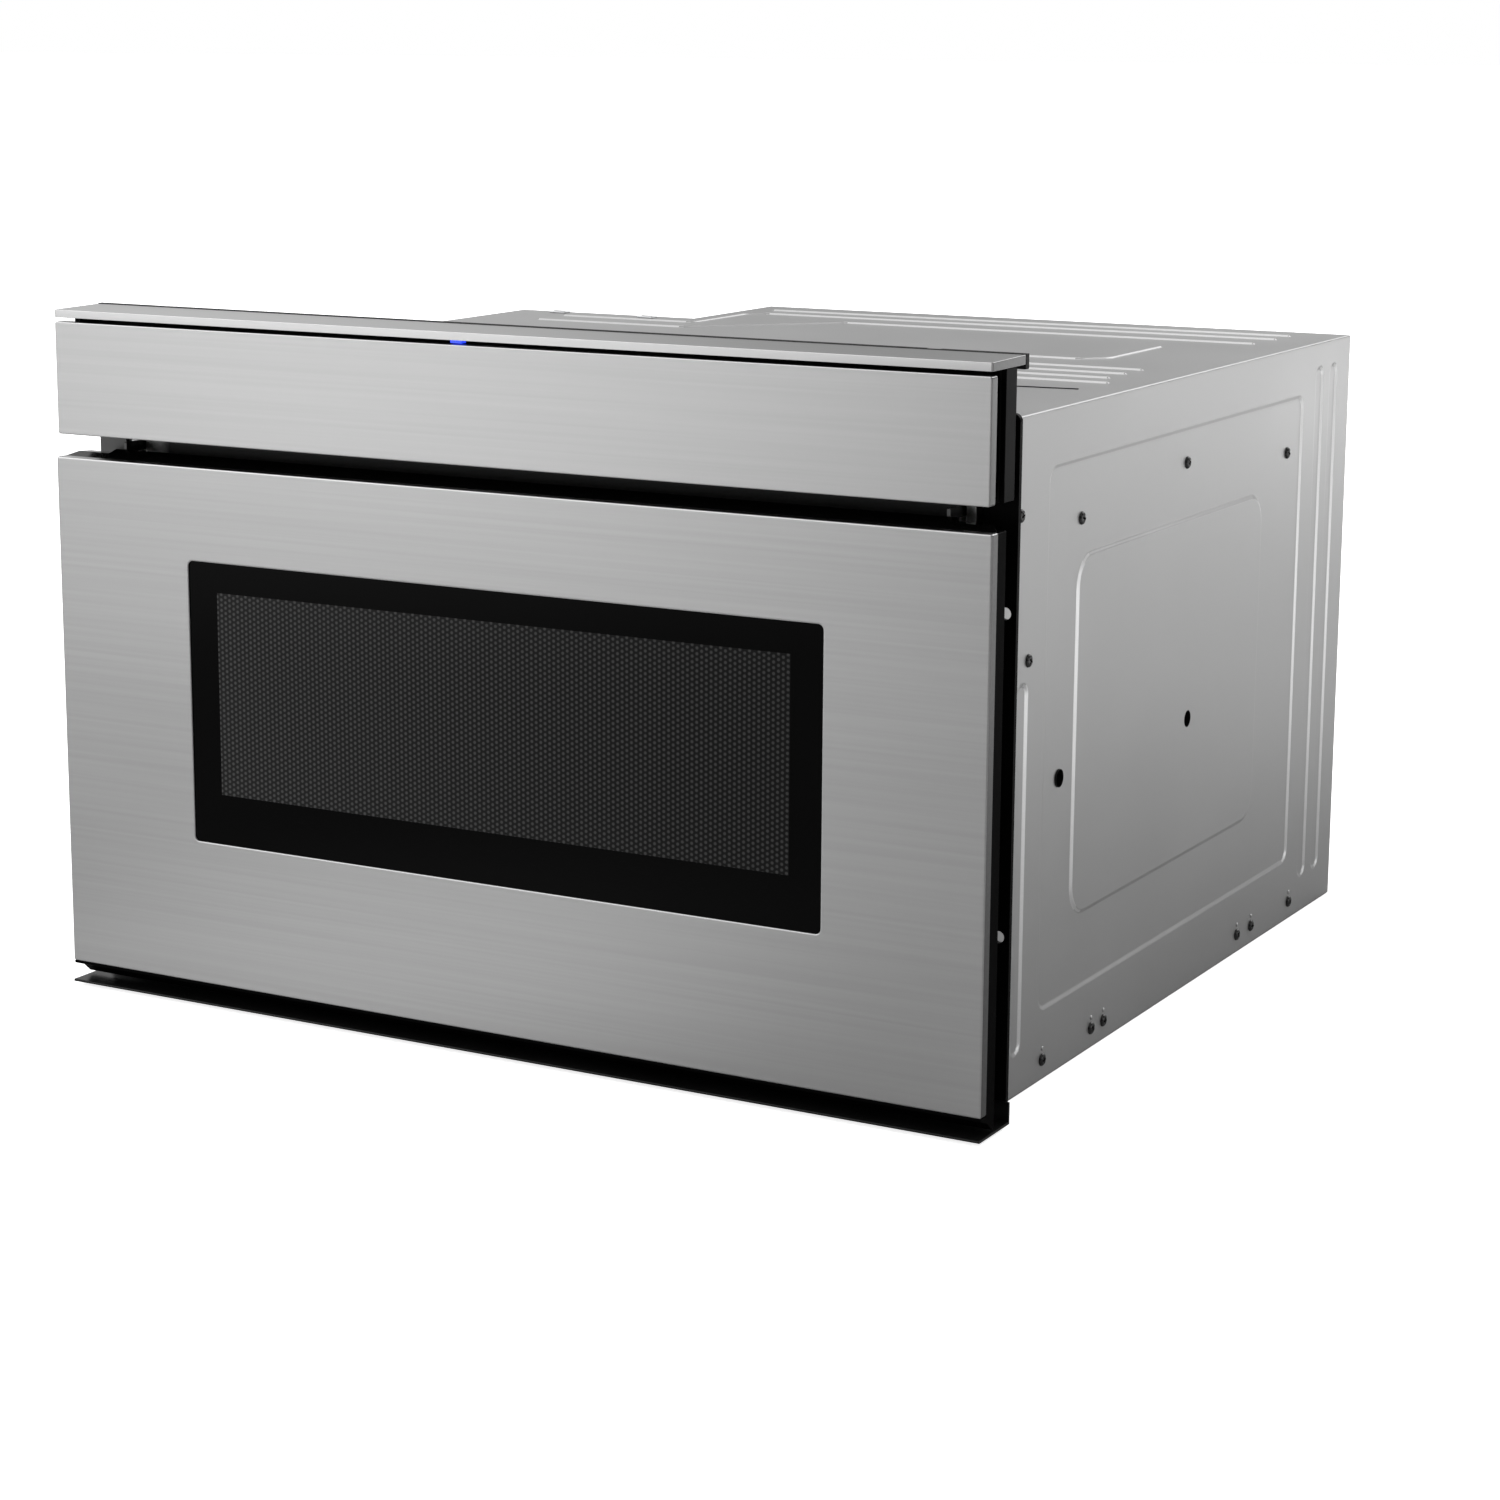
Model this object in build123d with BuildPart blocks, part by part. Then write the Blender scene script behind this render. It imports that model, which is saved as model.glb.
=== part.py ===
from build123d import *
import os
from math import atan, cos, pi, radians, sin, tan

# A built-in microwave drawer. Millimetres, +Z up, the drawer opens towards -Y.
# The origin is at the middle of the case's underside.

# ---- overall size ----------------------------------------------------------------
WIDTH = 598.5  # across the drawer front
DEPTH = 590.6  # lower lip to rear panel
HEIGHT = 406.4  # case underside to the clips on the trim
LIP_REACH = 1.0  # the lower lip stands this far ahead of the drawer front
FACE_Y = LIP_REACH - DEPTH / 2
REAR_Y = DEPTH / 2
DOOR_HALF = WIDTH / 2
INSIDE_DEPTH = DEPTH - LIP_REACH  # drawer front to rear panel
SHEET = 1.0  # sheet metal
RUNNING = 0.3  # clearance between pieces that move past each other

# ---- control panel and trim, from the top down ------------------------------------
CLIP_PROUD = 0.9
TRIM_THICK = 4.5
PANEL_SLOT = 2.4  # between the trim and the control panel
PANEL_HEIGHT = 65.3
DRAWER_SLOT = 13.4  # between the control panel and the drawer front
TRIM_TOP = HEIGHT - CLIP_PROUD
TRIM_BOTTOM = TRIM_TOP - TRIM_THICK
PANEL_TOP = TRIM_BOTTOM - PANEL_SLOT
PANEL_BOTTOM = PANEL_TOP - PANEL_HEIGHT
PANEL_INSET = 1.9  # narrower than the drawer front, at each end
TRIM_INSET = 1.7
TRIM_DEPTH = 40.0
SEAL_THICK = 4.0
SEAL_DROP = 2.5
CLIP_INSET = 53.75  # from the drawer front's end
CLIP_WIDTH = 8.0
BIN_WALL = 2.0
BIN_END_GAP = 6.0  # fascia end to bin cheek
PIVOT_DEPTH = 8.0
PIVOT_Z = PANEL_BOTTOM + 5.2
PIVOT_PIN_R = 2.0
PIVOT_CLEARANCE = 0.05
PIVOT_EAR = 3.0
EAR_HALF = 3.6

# ---- drawer front ----------------------------------------------------------------
DOOR_BOTTOM = 15.0
DOOR_TOP = PANEL_BOTTOM - DRAWER_SLOT
SKIN_RETURN = 6.5  # depth of the skin's folded edge
WINDOW_HALF = 205.0
WINDOW_BOTTOM = 100.6
WINDOW_TOP = DOOR_TOP - 54.1
WINDOW_RADIUS = 3.0
GLASS_THICK = 3.2
GLASS_LAP = 10.0  # the glass runs this far behind the skin
DOOR_FRAME_DEPTH = 17.3
DOOR_FRAME_WEB = 3.0
DOOR_FRAME_INSET = 0.3  # from the skin's outer face
DOOR_RIM = 12.0
LEDGE_RISE = 4.1  # the frame's top ledge climbs this far above the skin
LEDGE_DEPTH = 20.0
LEDGE_INSET = 9.0  # at each end of the ledge
LEDGE_LOW_END = 28.25  # the ledge is lower over this length at each end
LEDGE_LOW_DROP = 2.0
UNDER_STRIP = 1.5
UNDER_SLOPE_DEPTH = 8.6
UNDER_SLOPE_DROP = 4.7
UNDER_RIM_DEPTH = 14.1
UNDER_RIM_DROP = 9.6

# ---- flange and case -------------------------------------------------------------
FLANGE_DEPTH = 37.0  # flange's front face, behind the drawer front
FLANGE_THICK = 3.0
FLANGE_INSET = 2.7
FLANGE_BOTTOM = 2.0
FLANGE_RADIUS = 4.0
LIP_THICK = 1.5
LIP_INSET = 0.35
LIP_UPSTAND = 12.0
CASE_INSET = 19.25  # from the drawer front's end
CASE_HALF = DOOR_HALF - CASE_INSET
CASE_HEIGHT = HEIGHT - 36.4
FLANGE_TOP = CASE_HEIGHT + 6.3
MOUNT_X = DOOR_HALF - 8.95
MOUNT_Z = (102.5, FLANGE_TOP - 102.8)
MOUNT_R = 3.25
RECESS_X = 137.0 - CASE_HALF  # outlet recess at the rear left corner
RECESS_DEPTH = 110.1  # its wall's distance from the rear panel
PRESS_DEPTH = 0.9  # how far the case's channels and grooves are pressed in
GROOVE_WIDTH = 12.0
RIB_HEIGHT = 0.9
RIB_WIDTH = 5.0
RADIUS_SLACK = 0.02  # a groove's ends are a hair short of half round

# ---- oven ------------------------------------------------------------------------
DRAWER_WIDTH = WIDTH - 158.8  # inside
DRAWER_DEPTH = INSIDE_DEPTH - 170.5  # inside
CAVITY_CEILING = DOOR_TOP - 27.7
PAN_WALL = 3.0
PAN_FLOOR_Z = 100.0
PAN_FLOOR = 5.0
PAN_RIM_DROP = 60.2  # the pan's rim below the ceiling
TRAY_THICK = 7.0
TRAY_GAP = 0.4
TRAY_SEAT = 30.0  # width of the pan floor that carries the tray
CAVITY_SIDE_GAP = 10.0
CAVITY_REAR_GAP = 9.5
CAVITY_FLOOR_Z = 94.0
FRAME_HALF = CASE_HALF - 7.0  # cavity front frame
FRAME_BOTTOM = 70.0
FRAME_TOP = CASE_HEIGHT - 38.0
FRAME_THICK = 1.5
FRAME_FOOT = 20.0  # how far its folded feet reach back

# ---- latches ---------------------------------------------------------------------
HOOK_X = DOOR_HALF - 34.25
HOOK_THICK = 2.0
HOOK_ROOT_Z = DOOR_TOP - 23.9
HOOK_TONGUE_Z = (DOOR_TOP - 0.9, DOOR_TOP + 8.1)
HOOK_BARB = 6.0  # length of the tongue's catch
HOOK_REACH = 58.0  # tongue's tip, behind the drawer front
SLOT_GAP = 1.5  # around the tongue, in the frame and in the switches

# ---- slides and drive ------------------------------------------------------------
SLIDE_X = DRAWER_WIDTH / 2 - 1.15  # outer face of the outer member
SLIDE_Z = 24.0
SLIDE_HEIGHT = 40.0
SLIDE_LENGTH = DRAWER_DEPTH + 0.9
SLIDE_SHEET = 1.5
SLIDE_LIP = 11.5
SLIDE_SIDE_GAP = 1.5
BALL_R = 1.45
BALL_GAP = 0.05
INNER_BAR = 5.0
GEAR_MODULE = 1.5
PINION_TEETH = 20
GEAR_FACE = 10.0
GEAR_BACKLASH = 0.12
RACK_X = 123.0
RACK_PITCH_Z = 48.0
RACK_BACK = 8.0
RACK_LENGTH = DRAWER_DEPTH + 12.9
PINION_DEPTH = 62.0
PINION_SHAFT_R = 3.0
SHAFT_CLEARANCE = 0.05

# ---- microwave feed, fan and electrics -------------------------------------------
STIRRER_Y = -40.0
STIRRER_R = 82.0
WELL_R = 95.0
GUIDE_HALF = 43.0
GUIDE_BOTTOM = 40.0
GUIDE_TOP = 72.0
GUIDE_WALL = 1.2
MAGNETRON_Y = REAR_Y - 66.3
FAN_X = 70.0
FAN_DEPTH = 28.0
FAN_Y = REAR_Y - 61.3
FAN_Z = 121.0
FAN_BORE_R = 52.0
FAN_BLADES = 7

PINION_R = GEAR_MODULE * PINION_TEETH / 2
FASCIA_HALF = DOOR_HALF - PANEL_INSET
TRIM_HALF = DOOR_HALF - TRIM_INSET
FLANGE_HALF = DOOR_HALF - FLANGE_INSET
RECESS_Y = REAR_Y - RECESS_DEPTH
PAN_HALF = DRAWER_WIDTH / 2 + PAN_WALL
CAVITY_HALF = PAN_HALF + CAVITY_SIDE_GAP
TRAY_TOP = PAN_FLOOR_Z + PAN_FLOOR + TRAY_THICK
PAN_RIM_Z = CAVITY_CEILING - PAN_RIM_DROP


def back(depth):
    # Y of a point this far behind the drawer's front face
    return FACE_Y + depth


def across(half):
    return (-half, half)


def grown(span, amount):
    return (span[0] - amount, span[1] + amount)


def facing(y):
    # sketch plane that looks forwards: its own X and Y are the part's X and Z
    return Plane.XZ.offset(-y)


def slab(x_span, y_span, z_span, mode=Mode.ADD):
    spans = (x_span, y_span, z_span)
    middle = tuple((low + high) / 2 for low, high in spans)
    with Locations(middle):
        Box(*(high - low for low, high in spans), mode=mode)


def rect(u_span, v_span, radius=0, mode=Mode.ADD):
    width = u_span[1] - u_span[0]
    height = v_span[1] - v_span[0]
    middle = (sum(u_span) / 2, sum(v_span) / 2)
    with Locations(middle):
        if radius:
            RectangleRounded(width, height, radius, mode=mode)
        else:
            Rectangle(width, height, mode=mode)


def finish(builder, label):
    builder.part.label = label
    export_step(builder.part, f"parts/{label}.step")


os.makedirs("parts", exist_ok=True)

# ================================ case ============================================
case_front = back(FLANGE_DEPTH + FLANGE_THICK)
wall_z = (SHEET, CASE_HEIGHT - SHEET)
case_inside = CASE_HALF - SHEET

# Screws on the case's side: depth behind the drawer front, height.
FLAT_SCREWS = [(77.1, CASE_HEIGHT - 52.0), (90.9, CASE_HEIGHT - 130.8)]
CHANNEL_SCREWS = [(159.8, CASE_HEIGHT - 63.7), (INSIDE_DEPTH / 2 + 18.1, CASE_HEIGHT - 51.0),
                  (INSIDE_DEPTH - 108.9, CASE_HEIGHT - 64.2)]
FOOT_SCREW_Z = 11.5
FOOT_SCREWS = [121.1, 189.1, 206.8, INSIDE_DEPTH - 170.5, INSIDE_DEPTH - 146.0,
               INSIDE_DEPTH - 77.7]
SIDE_HOLES = [(136.6, 166.6), (INSIDE_DEPTH / 2 + 28.8, 165.9)]
SIDE_HOLE_R = 3.6
SCREW_HEAD_R = 3.8
SCREW_HEAD = 2.0
SCREW_SHANK_R = 1.9
SCREW_SHANK = 6.0
SCREW_HOLE_R = 2.1
RECESS_MARGIN = 12.0

flat_screws = FLAT_SCREWS + [(depth, FOOT_SCREW_Z) for depth in FOOT_SCREWS]

# A channel is pressed into the side between two rounded rectangles, and grooves stand
# apart from it. Depth span, height span, corner radius; middle of a groove, height span.
OUTER_EDGE = ((115.0, INSIDE_DEPTH - 85.2), (40.6, CASE_HEIGHT - 31.2), 8.0)
INNER_EDGE = ((156.2, INSIDE_DEPTH - 151.6), (83.7, CASE_HEIGHT - 84.3), 18.0)
FRONT_GROOVE = (84.2, (24.0, CASE_HEIGHT - 143.0))
REAR_GROOVES = [(INSIDE_DEPTH - 55.7, (24.0, CASE_HEIGHT - 16.0)),
                (INSIDE_DEPTH - 30.3, (24.0, CASE_HEIGHT - 16.0))]


def before(places, rear_y):
    # those of the places that stand clear in front of a wall
    return [(depth, z) for depth, z in places if back(depth) < rear_y - RECESS_MARGIN]


def pressed(outer, inner, grooves, amount):
    # outline of all that is pressed in, made wider all round by the amount
    for (depths, heights, radius), mode, by in ((outer, Mode.ADD, amount),
                                                (inner, Mode.SUBTRACT, -amount)):
        ring = (back(depths[0]), back(depths[1]))
        rect(grown(ring, by), grown(heights, by), radius + by, mode)
    for depth, heights in grooves:
        half = GROOVE_WIDTH / 2 + amount
        rect(grown((back(depth), back(depth)), half), grown(heights, amount), half - RADIUS_SLACK)


def side_panel(side, rear_y, outer, inner, grooves):
    with BuildPart() as panel:
        slab(sorted((side * case_inside, side * CASE_HALF)), (case_front, rear_y), wall_z)
        with BuildSketch(Plane.YZ.offset(side * case_inside)):
            pressed(outer, inner, grooves, SHEET)
        extrude(amount=-side * PRESS_DEPTH)
        with BuildSketch(Plane.YZ.offset(side * CASE_HALF)):
            pressed(outer, inner, grooves, 0)
        extrude(amount=-side * PRESS_DEPTH, mode=Mode.SUBTRACT)
        with BuildSketch(Plane.YZ.offset(side * CASE_HALF)):
            screws = before(flat_screws + CHANNEL_SCREWS, rear_y)
            with Locations(*[(back(d), z) for d, z in screws]):
                Circle(SCREW_HOLE_R)
            with Locations(*[(back(d), z) for d, z in SIDE_HOLES]):
                Circle(SIDE_HOLE_R)
        extrude(amount=-side * (SHEET + PRESS_DEPTH), mode=Mode.SUBTRACT)
    return panel


right_side_panel = side_panel(1, REAR_Y, OUTER_EDGE, INNER_EDGE, [FRONT_GROOVE] + REAR_GROOVES)
finish(right_side_panel, "right_side_panel")

# The left side ends at the outlet recess, so what is pressed into it stops short of that.
recess_wall_depth = INSIDE_DEPTH - RECESS_DEPTH
left_outer = ((OUTER_EDGE[0][0], recess_wall_depth - 27.5), *OUTER_EDGE[1:])
left_inner = ((INNER_EDGE[0][0], recess_wall_depth - 71.5), *INNER_EDGE[1:])
left_side_panel = side_panel(-1, RECESS_Y, left_outer, left_inner, [FRONT_GROOVE])
finish(left_side_panel, "left_side_panel")

with BuildPart() as case_screws:
    for side, rear_y in ((1, REAR_Y), (-1, RECESS_Y)):
        for seat, places in ((CASE_HALF, before(flat_screws, rear_y)),
                             (CASE_HALF - PRESS_DEPTH, before(CHANNEL_SCREWS, rear_y))):
            for radius, reach in ((SCREW_HEAD_R, SCREW_HEAD), (SCREW_SHANK_R, -SCREW_SHANK)):
                with BuildSketch(Plane.YZ.offset(side * seat)):
                    with Locations(*[(back(d), z) for d, z in places]):
                        Circle(radius)
                extrude(amount=side * reach)
finish(case_screws, "case_screws")

# Ribs on the top, as points of X and depth. Two of them lead round the outlet recess.
middle_depth = INSIDE_DEPTH / 2
front_ribs = [((-60.0, depth), (CASE_HALF - end, depth)) for depth, end in (
    (middle_depth + 25.0, 34.0), (middle_depth, 34.0),
    (middle_depth - 24.8, 34.0), (middle_depth - 49.5, 24.0))]
field_rib = ((51.0 - CASE_HALF, middle_depth + 65.0), (CASE_HALF - 90.0, middle_depth + 65.0),
             (CASE_HALF - 76.0, middle_depth + 79.0), (CASE_HALF - 76.0, middle_depth + 158.0))
inner_rib = ((51.0 - CASE_HALF, recess_wall_depth - 59.5),
             (RECESS_X + 25.0, recess_wall_depth - 59.5),
             (RECESS_X + 104.0, INSIDE_DEPTH - 89.3), (CASE_HALF - 33.0, INSIDE_DEPTH - 89.3))
recess_rib = ((51.0 - CASE_HALF, recess_wall_depth - 27.0),
              (RECESS_X + 15.0, recess_wall_depth - 27.0),
              (RECESS_X + 15.0, INSIDE_DEPTH - 67.7), (RECESS_X + 27.0, INSIDE_DEPTH - 55.7),
              (CASE_HALF - 31.0, INSIDE_DEPTH - 55.7))
rear_rib = ((RECESS_X + 19.0, INSIDE_DEPTH - 29.9), (CASE_HALF - 31.0, INSIDE_DEPTH - 29.9))
SLIT_X = (CASE_HALF - 56.0, CASE_HALF - 26.0)
SLIT_DEPTH = middle_depth - 85.8
SLIT_WIDTH = 3.0


def case_outline():
    # the case seen from above, with the outlet recess at its rear left corner
    with BuildLine() as outline:
        Polyline(
            (-CASE_HALF, case_front),
            (CASE_HALF, case_front),
            (CASE_HALF, REAR_Y),
            (RECESS_X, REAR_Y),
            (RECESS_X, RECESS_Y),
            (-CASE_HALF, RECESS_Y),
            close=True,
        )
    return outline.line


with BuildPart() as top_panel:
    with BuildSketch(Plane.XY.offset(CASE_HEIGHT - SHEET)):
        add(make_face(case_outline().edges(), mode=Mode.PRIVATE))
    extrude(amount=SHEET)
    for rib in (*front_ribs, field_rib, inner_rib, recess_rib, rear_rib):
        with BuildSketch(Plane.XY.offset(CASE_HEIGHT)):
            with BuildLine():
                Polyline(*[(x, back(depth)) for x, depth in rib])
            trace(line_width=RIB_WIDTH)
        extrude(amount=RIB_HEIGHT)
    slab(SLIT_X, grown((back(SLIT_DEPTH), back(SLIT_DEPTH)), SLIT_WIDTH / 2),
         (CASE_HEIGHT - SHEET, CASE_HEIGHT), Mode.SUBTRACT)
finish(top_panel, "top_panel")

VENT_SLOT = (26.0, 3.0)
VENT_PITCH = (34.0, 8.0)
BASE_VENT = (CASE_HALF - 90.0, REAR_Y - 145.3)  # middle of the base's vent field: X, Y
with BuildPart() as base_plate:
    with BuildSketch():
        add(make_face(case_outline().edges(), mode=Mode.PRIVATE))
        with Locations(BASE_VENT):
            with GridLocations(*VENT_PITCH, 3, 9):
                SlotOverall(*VENT_SLOT, mode=Mode.SUBTRACT)
    extrude(amount=SHEET)
finish(base_plate, "base_plate")

REAR_VENT = (CASE_HALF - 90.0, 121.0)  # middle of the rear panel's vent field: X, Z
with BuildPart() as rear_panel:
    with BuildSketch(facing(REAR_Y)):
        rect((RECESS_X, case_inside), wall_z)
        with Locations(REAR_VENT):
            with GridLocations(*VENT_PITCH, 3, 11):
                SlotOverall(*VENT_SLOT, mode=Mode.SUBTRACT)
    extrude(amount=SHEET)
finish(rear_panel, "rear_panel")

INLET_X = 70.0 - CASE_HALF
INLET_Z = 60.0
INLET_R = 9.0
INLET_FLANGE_R = 13.0
INLET_LENGTH = 24.0
INLET_BORE_R = 4.2
with BuildPart() as outlet_recess:
    slab((-case_inside, RECESS_X + SHEET), (RECESS_Y - SHEET, RECESS_Y), wall_z)
    slab((RECESS_X, RECESS_X + SHEET), (RECESS_Y, REAR_Y - SHEET), wall_z)
    with BuildSketch(facing(RECESS_Y)):
        with Locations((INLET_X, INLET_Z)):
            Circle(INLET_R)
    extrude(amount=SHEET, mode=Mode.SUBTRACT)
finish(outlet_recess, "outlet_recess")

# Cord gland: a flanged bush in the recess wall.
with BuildPart() as power_inlet:
    with BuildSketch(facing(RECESS_Y + INLET_LENGTH / 2)):
        with Locations((INLET_X, INLET_Z)):
            Circle(INLET_R - SHAFT_CLEARANCE)
            Circle(INLET_BORE_R, mode=Mode.SUBTRACT)
    extrude(amount=INLET_LENGTH)
    with BuildSketch(facing(RECESS_Y + BIN_WALL)):
        with Locations((INLET_X, INLET_Z)):
            Circle(INLET_FLANGE_R)
            Circle(INLET_R - 2 * SHAFT_CLEARANCE, mode=Mode.SUBTRACT)
    extrude(amount=BIN_WALL)
finish(power_inlet, "power_inlet")

# ================================ flange and lip ==================================
flange_front = back(FLANGE_DEPTH)
FLANGE_OPENING_HALF = CASE_HALF - 3.0
FLANGE_OPENING = (14.0, CASE_HEIGHT - 6.0)
with BuildPart() as front_flange:
    with BuildSketch(facing(case_front)):
        rect(across(FLANGE_HALF), (FLANGE_BOTTOM, FLANGE_TOP), FLANGE_RADIUS)
        rect(across(FLANGE_OPENING_HALF), FLANGE_OPENING, mode=Mode.SUBTRACT)
        with Locations(*[(x, z) for x in across(MOUNT_X) for z in MOUNT_Z]):
            Circle(MOUNT_R, mode=Mode.SUBTRACT)
    extrude(amount=FLANGE_THICK)
finish(front_flange, "front_flange")

LIP_NOSE = 0.7
with BuildPart() as lower_lip:
    lip_x = across(DOOR_HALF - LIP_INSET)
    slab(lip_x, (back(-LIP_REACH), flange_front), (FLANGE_BOTTOM, FLANGE_BOTTOM + LIP_THICK))
    nose = lower_lip.edges().filter_by(Axis.X).group_by(Axis.Y)[0]
    fillet(nose, LIP_NOSE)
    slab(lip_x, (flange_front - LIP_THICK, flange_front),
         (FLANGE_BOTTOM, FLANGE_BOTTOM + LIP_UPSTAND))
finish(lower_lip, "lower_lip")

# ================================ oven cavity =====================================
pan_front = flange_front - RUNNING
pan_rear = pan_front + DRAWER_DEPTH + PAN_WALL
cavity_rear_y = pan_rear + CAVITY_REAR_GAP
frame_back = flange_front + FRAME_THICK
cavity_outer = CAVITY_HALF + SHEET


def hook_slot_x(side):
    # the slot that a latch hook's tongue passes through
    return grown((side * HOOK_X, side * HOOK_X), HOOK_THICK / 2 + SLOT_GAP)


with BuildPart() as cavity_front_frame:
    with BuildSketch(facing(frame_back)):
        rect(across(FRAME_HALF), (FRAME_BOTTOM, FRAME_TOP))
        rect(across(CAVITY_HALF), (CAVITY_FLOOR_Z, CAVITY_CEILING), mode=Mode.SUBTRACT)
        for side in (-1, 1):
            rect(hook_slot_x(side), grown(HOOK_TONGUE_Z, SLOT_GAP), mode=Mode.SUBTRACT)
    extrude(amount=FRAME_THICK)
    # folded feet that reach back to the case's side panels
    for side in (-1, 1):
        foot_y = case_front + FRAME_FOOT
        slab(sorted((side * (FRAME_HALF - SHEET), side * FRAME_HALF)), (frame_back, foot_y),
             (FRAME_BOTTOM, FRAME_TOP))
        slab(sorted((side * FRAME_HALF, side * case_inside)), (foot_y - SHEET, foot_y),
             (FRAME_BOTTOM, FRAME_TOP))
finish(cavity_front_frame, "cavity_front_frame")

LAMP_Y = pan_rear - 74.5
LAMP_Z = CAVITY_CEILING - 42.2
LAMP_HOLES = 5
LAMP_HOLE_R = 1.4
LAMP_HOLE_PITCH = 5.0
with BuildPart() as cavity_wrapper:
    with BuildSketch(facing(cavity_rear_y)):
        rect(across(cavity_outer), (CAVITY_FLOOR_Z, CAVITY_CEILING + SHEET))
        rect(across(CAVITY_HALF), (CAVITY_FLOOR_Z - SHEET, CAVITY_CEILING), mode=Mode.SUBTRACT)
    extrude(amount=cavity_rear_y - frame_back)
    with BuildSketch(Plane.YZ.offset(CAVITY_HALF)):
        with Locations((LAMP_Y, LAMP_Z)):
            with GridLocations(LAMP_HOLE_PITCH, LAMP_HOLE_PITCH, LAMP_HOLES, LAMP_HOLES):
                Circle(LAMP_HOLE_R)
    extrude(amount=SHEET, mode=Mode.SUBTRACT)
finish(cavity_wrapper, "cavity_wrapper")

cavity_floor_z = (CAVITY_FLOOR_Z - SHEET, CAVITY_FLOOR_Z)
with BuildPart() as cavity_floor:
    slab(across(cavity_outer), (frame_back, cavity_rear_y), cavity_floor_z)
    with Locations((0, STIRRER_Y, CAVITY_FLOOR_Z)):
        Cylinder(WELL_R, 4 * SHEET, mode=Mode.SUBTRACT)
finish(cavity_floor, "cavity_floor")

with BuildPart() as cavity_rear:
    slab(across(cavity_outer), (cavity_rear_y, cavity_rear_y + SHEET),
         (cavity_floor_z[0], CAVITY_CEILING + SHEET))
finish(cavity_rear, "cavity_rear")

COVER_LAP = 4.0
with BuildPart() as stirrer_cover:
    with Locations((0, STIRRER_Y, CAVITY_FLOOR_Z)):
        Cylinder(WELL_R + COVER_LAP, SHEET, align=(Align.CENTER, Align.CENTER, Align.MIN))
finish(stirrer_cover, "stirrer_cover")

# ================================ microwave feed ==================================
WELL_THROAT_R = 22.0
SHAFT_R = 3.5
GUIDE_FRONT = 35.0  # the guide's ends beyond the stirrer and the magnetron
GUIDE_REAR = 33.0
guide_y = (STIRRER_Y - GUIDE_FRONT, MAGNETRON_Y + GUIDE_REAR)
DOME_R = 9.0
DOME_HOLE_R = 12.0
with BuildPart() as waveguide:
    slab(across(GUIDE_HALF), guide_y, (GUIDE_BOTTOM, GUIDE_TOP))
    slab(across(GUIDE_HALF - GUIDE_WALL), grown(guide_y, -GUIDE_WALL),
         (GUIDE_BOTTOM + GUIDE_WALL, GUIDE_TOP - GUIDE_WALL), Mode.SUBTRACT)
    # round well under the cavity floor
    with BuildSketch(Plane.XY.offset(GUIDE_TOP)):
        with Locations((0, STIRRER_Y)):
            Circle(WELL_R + GUIDE_WALL)
    extrude(amount=cavity_floor_z[0] - GUIDE_TOP)
    with BuildSketch(Plane.XY.offset(GUIDE_TOP + GUIDE_WALL)):
        with Locations((0, STIRRER_Y)):
            Circle(WELL_R)
    extrude(amount=cavity_floor_z[0] - GUIDE_TOP - GUIDE_WALL, mode=Mode.SUBTRACT)
    with Locations((0, STIRRER_Y, GUIDE_TOP)):
        Cylinder(WELL_THROAT_R, 4 * GUIDE_WALL, mode=Mode.SUBTRACT)
    with Locations((0, STIRRER_Y, GUIDE_BOTTOM)):
        Cylinder(SHAFT_R + RUNNING, 4 * GUIDE_WALL, mode=Mode.SUBTRACT)
    with Locations((0, MAGNETRON_Y, GUIDE_TOP)):
        Cylinder(DOME_HOLE_R, 4 * GUIDE_WALL, mode=Mode.SUBTRACT)
finish(waveguide, "waveguide")

STIRRER_MOTOR_R = 25.0
STIRRER_MOTOR_Z = (15.0, GUIDE_BOTTOM)
SHAFT_ENTRY = 12.0
with BuildPart() as stirrer_motor:
    with BuildSketch(Plane.XY.offset(STIRRER_MOTOR_Z[0])):
        with Locations((0, STIRRER_Y)):
            Circle(STIRRER_MOTOR_R)
    extrude(amount=STIRRER_MOTOR_Z[1] - STIRRER_MOTOR_Z[0])
    with BuildSketch(Plane.XY.offset(STIRRER_MOTOR_Z[1] - SHAFT_ENTRY - RUNNING)):
        with Locations((0, STIRRER_Y)):
            Circle(SHAFT_R + SHAFT_CLEARANCE)
    extrude(amount=SHAFT_ENTRY + RUNNING, mode=Mode.SUBTRACT)
finish(stirrer_motor, "stirrer_motor")

STIRRER_Z = (80.0, 81.5)
STIRRER_ARMS = 5
STIRRER_ARM = 26.0
STIRRER_HUB_R = 16.0
with BuildPart() as stirrer:
    with BuildSketch(Plane.XY.offset(STIRRER_Z[0])):
        with Locations((0, STIRRER_Y)):
            Circle(STIRRER_HUB_R)
            for arm in range(STIRRER_ARMS):
                with Locations(Rotation(0, 0, arm * 360 / STIRRER_ARMS)):
                    with Locations((STIRRER_R / 2, 0)):
                        Rectangle(STIRRER_R, STIRRER_ARM)
    extrude(amount=STIRRER_Z[1] - STIRRER_Z[0])
    with BuildSketch(Plane.XY.offset(GUIDE_BOTTOM - SHAFT_ENTRY)):
        with Locations((0, STIRRER_Y)):
            Circle(SHAFT_R)
    extrude(amount=STIRRER_Z[0] - GUIDE_BOTTOM + SHAFT_ENTRY)
finish(stirrer, "stirrer")

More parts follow.
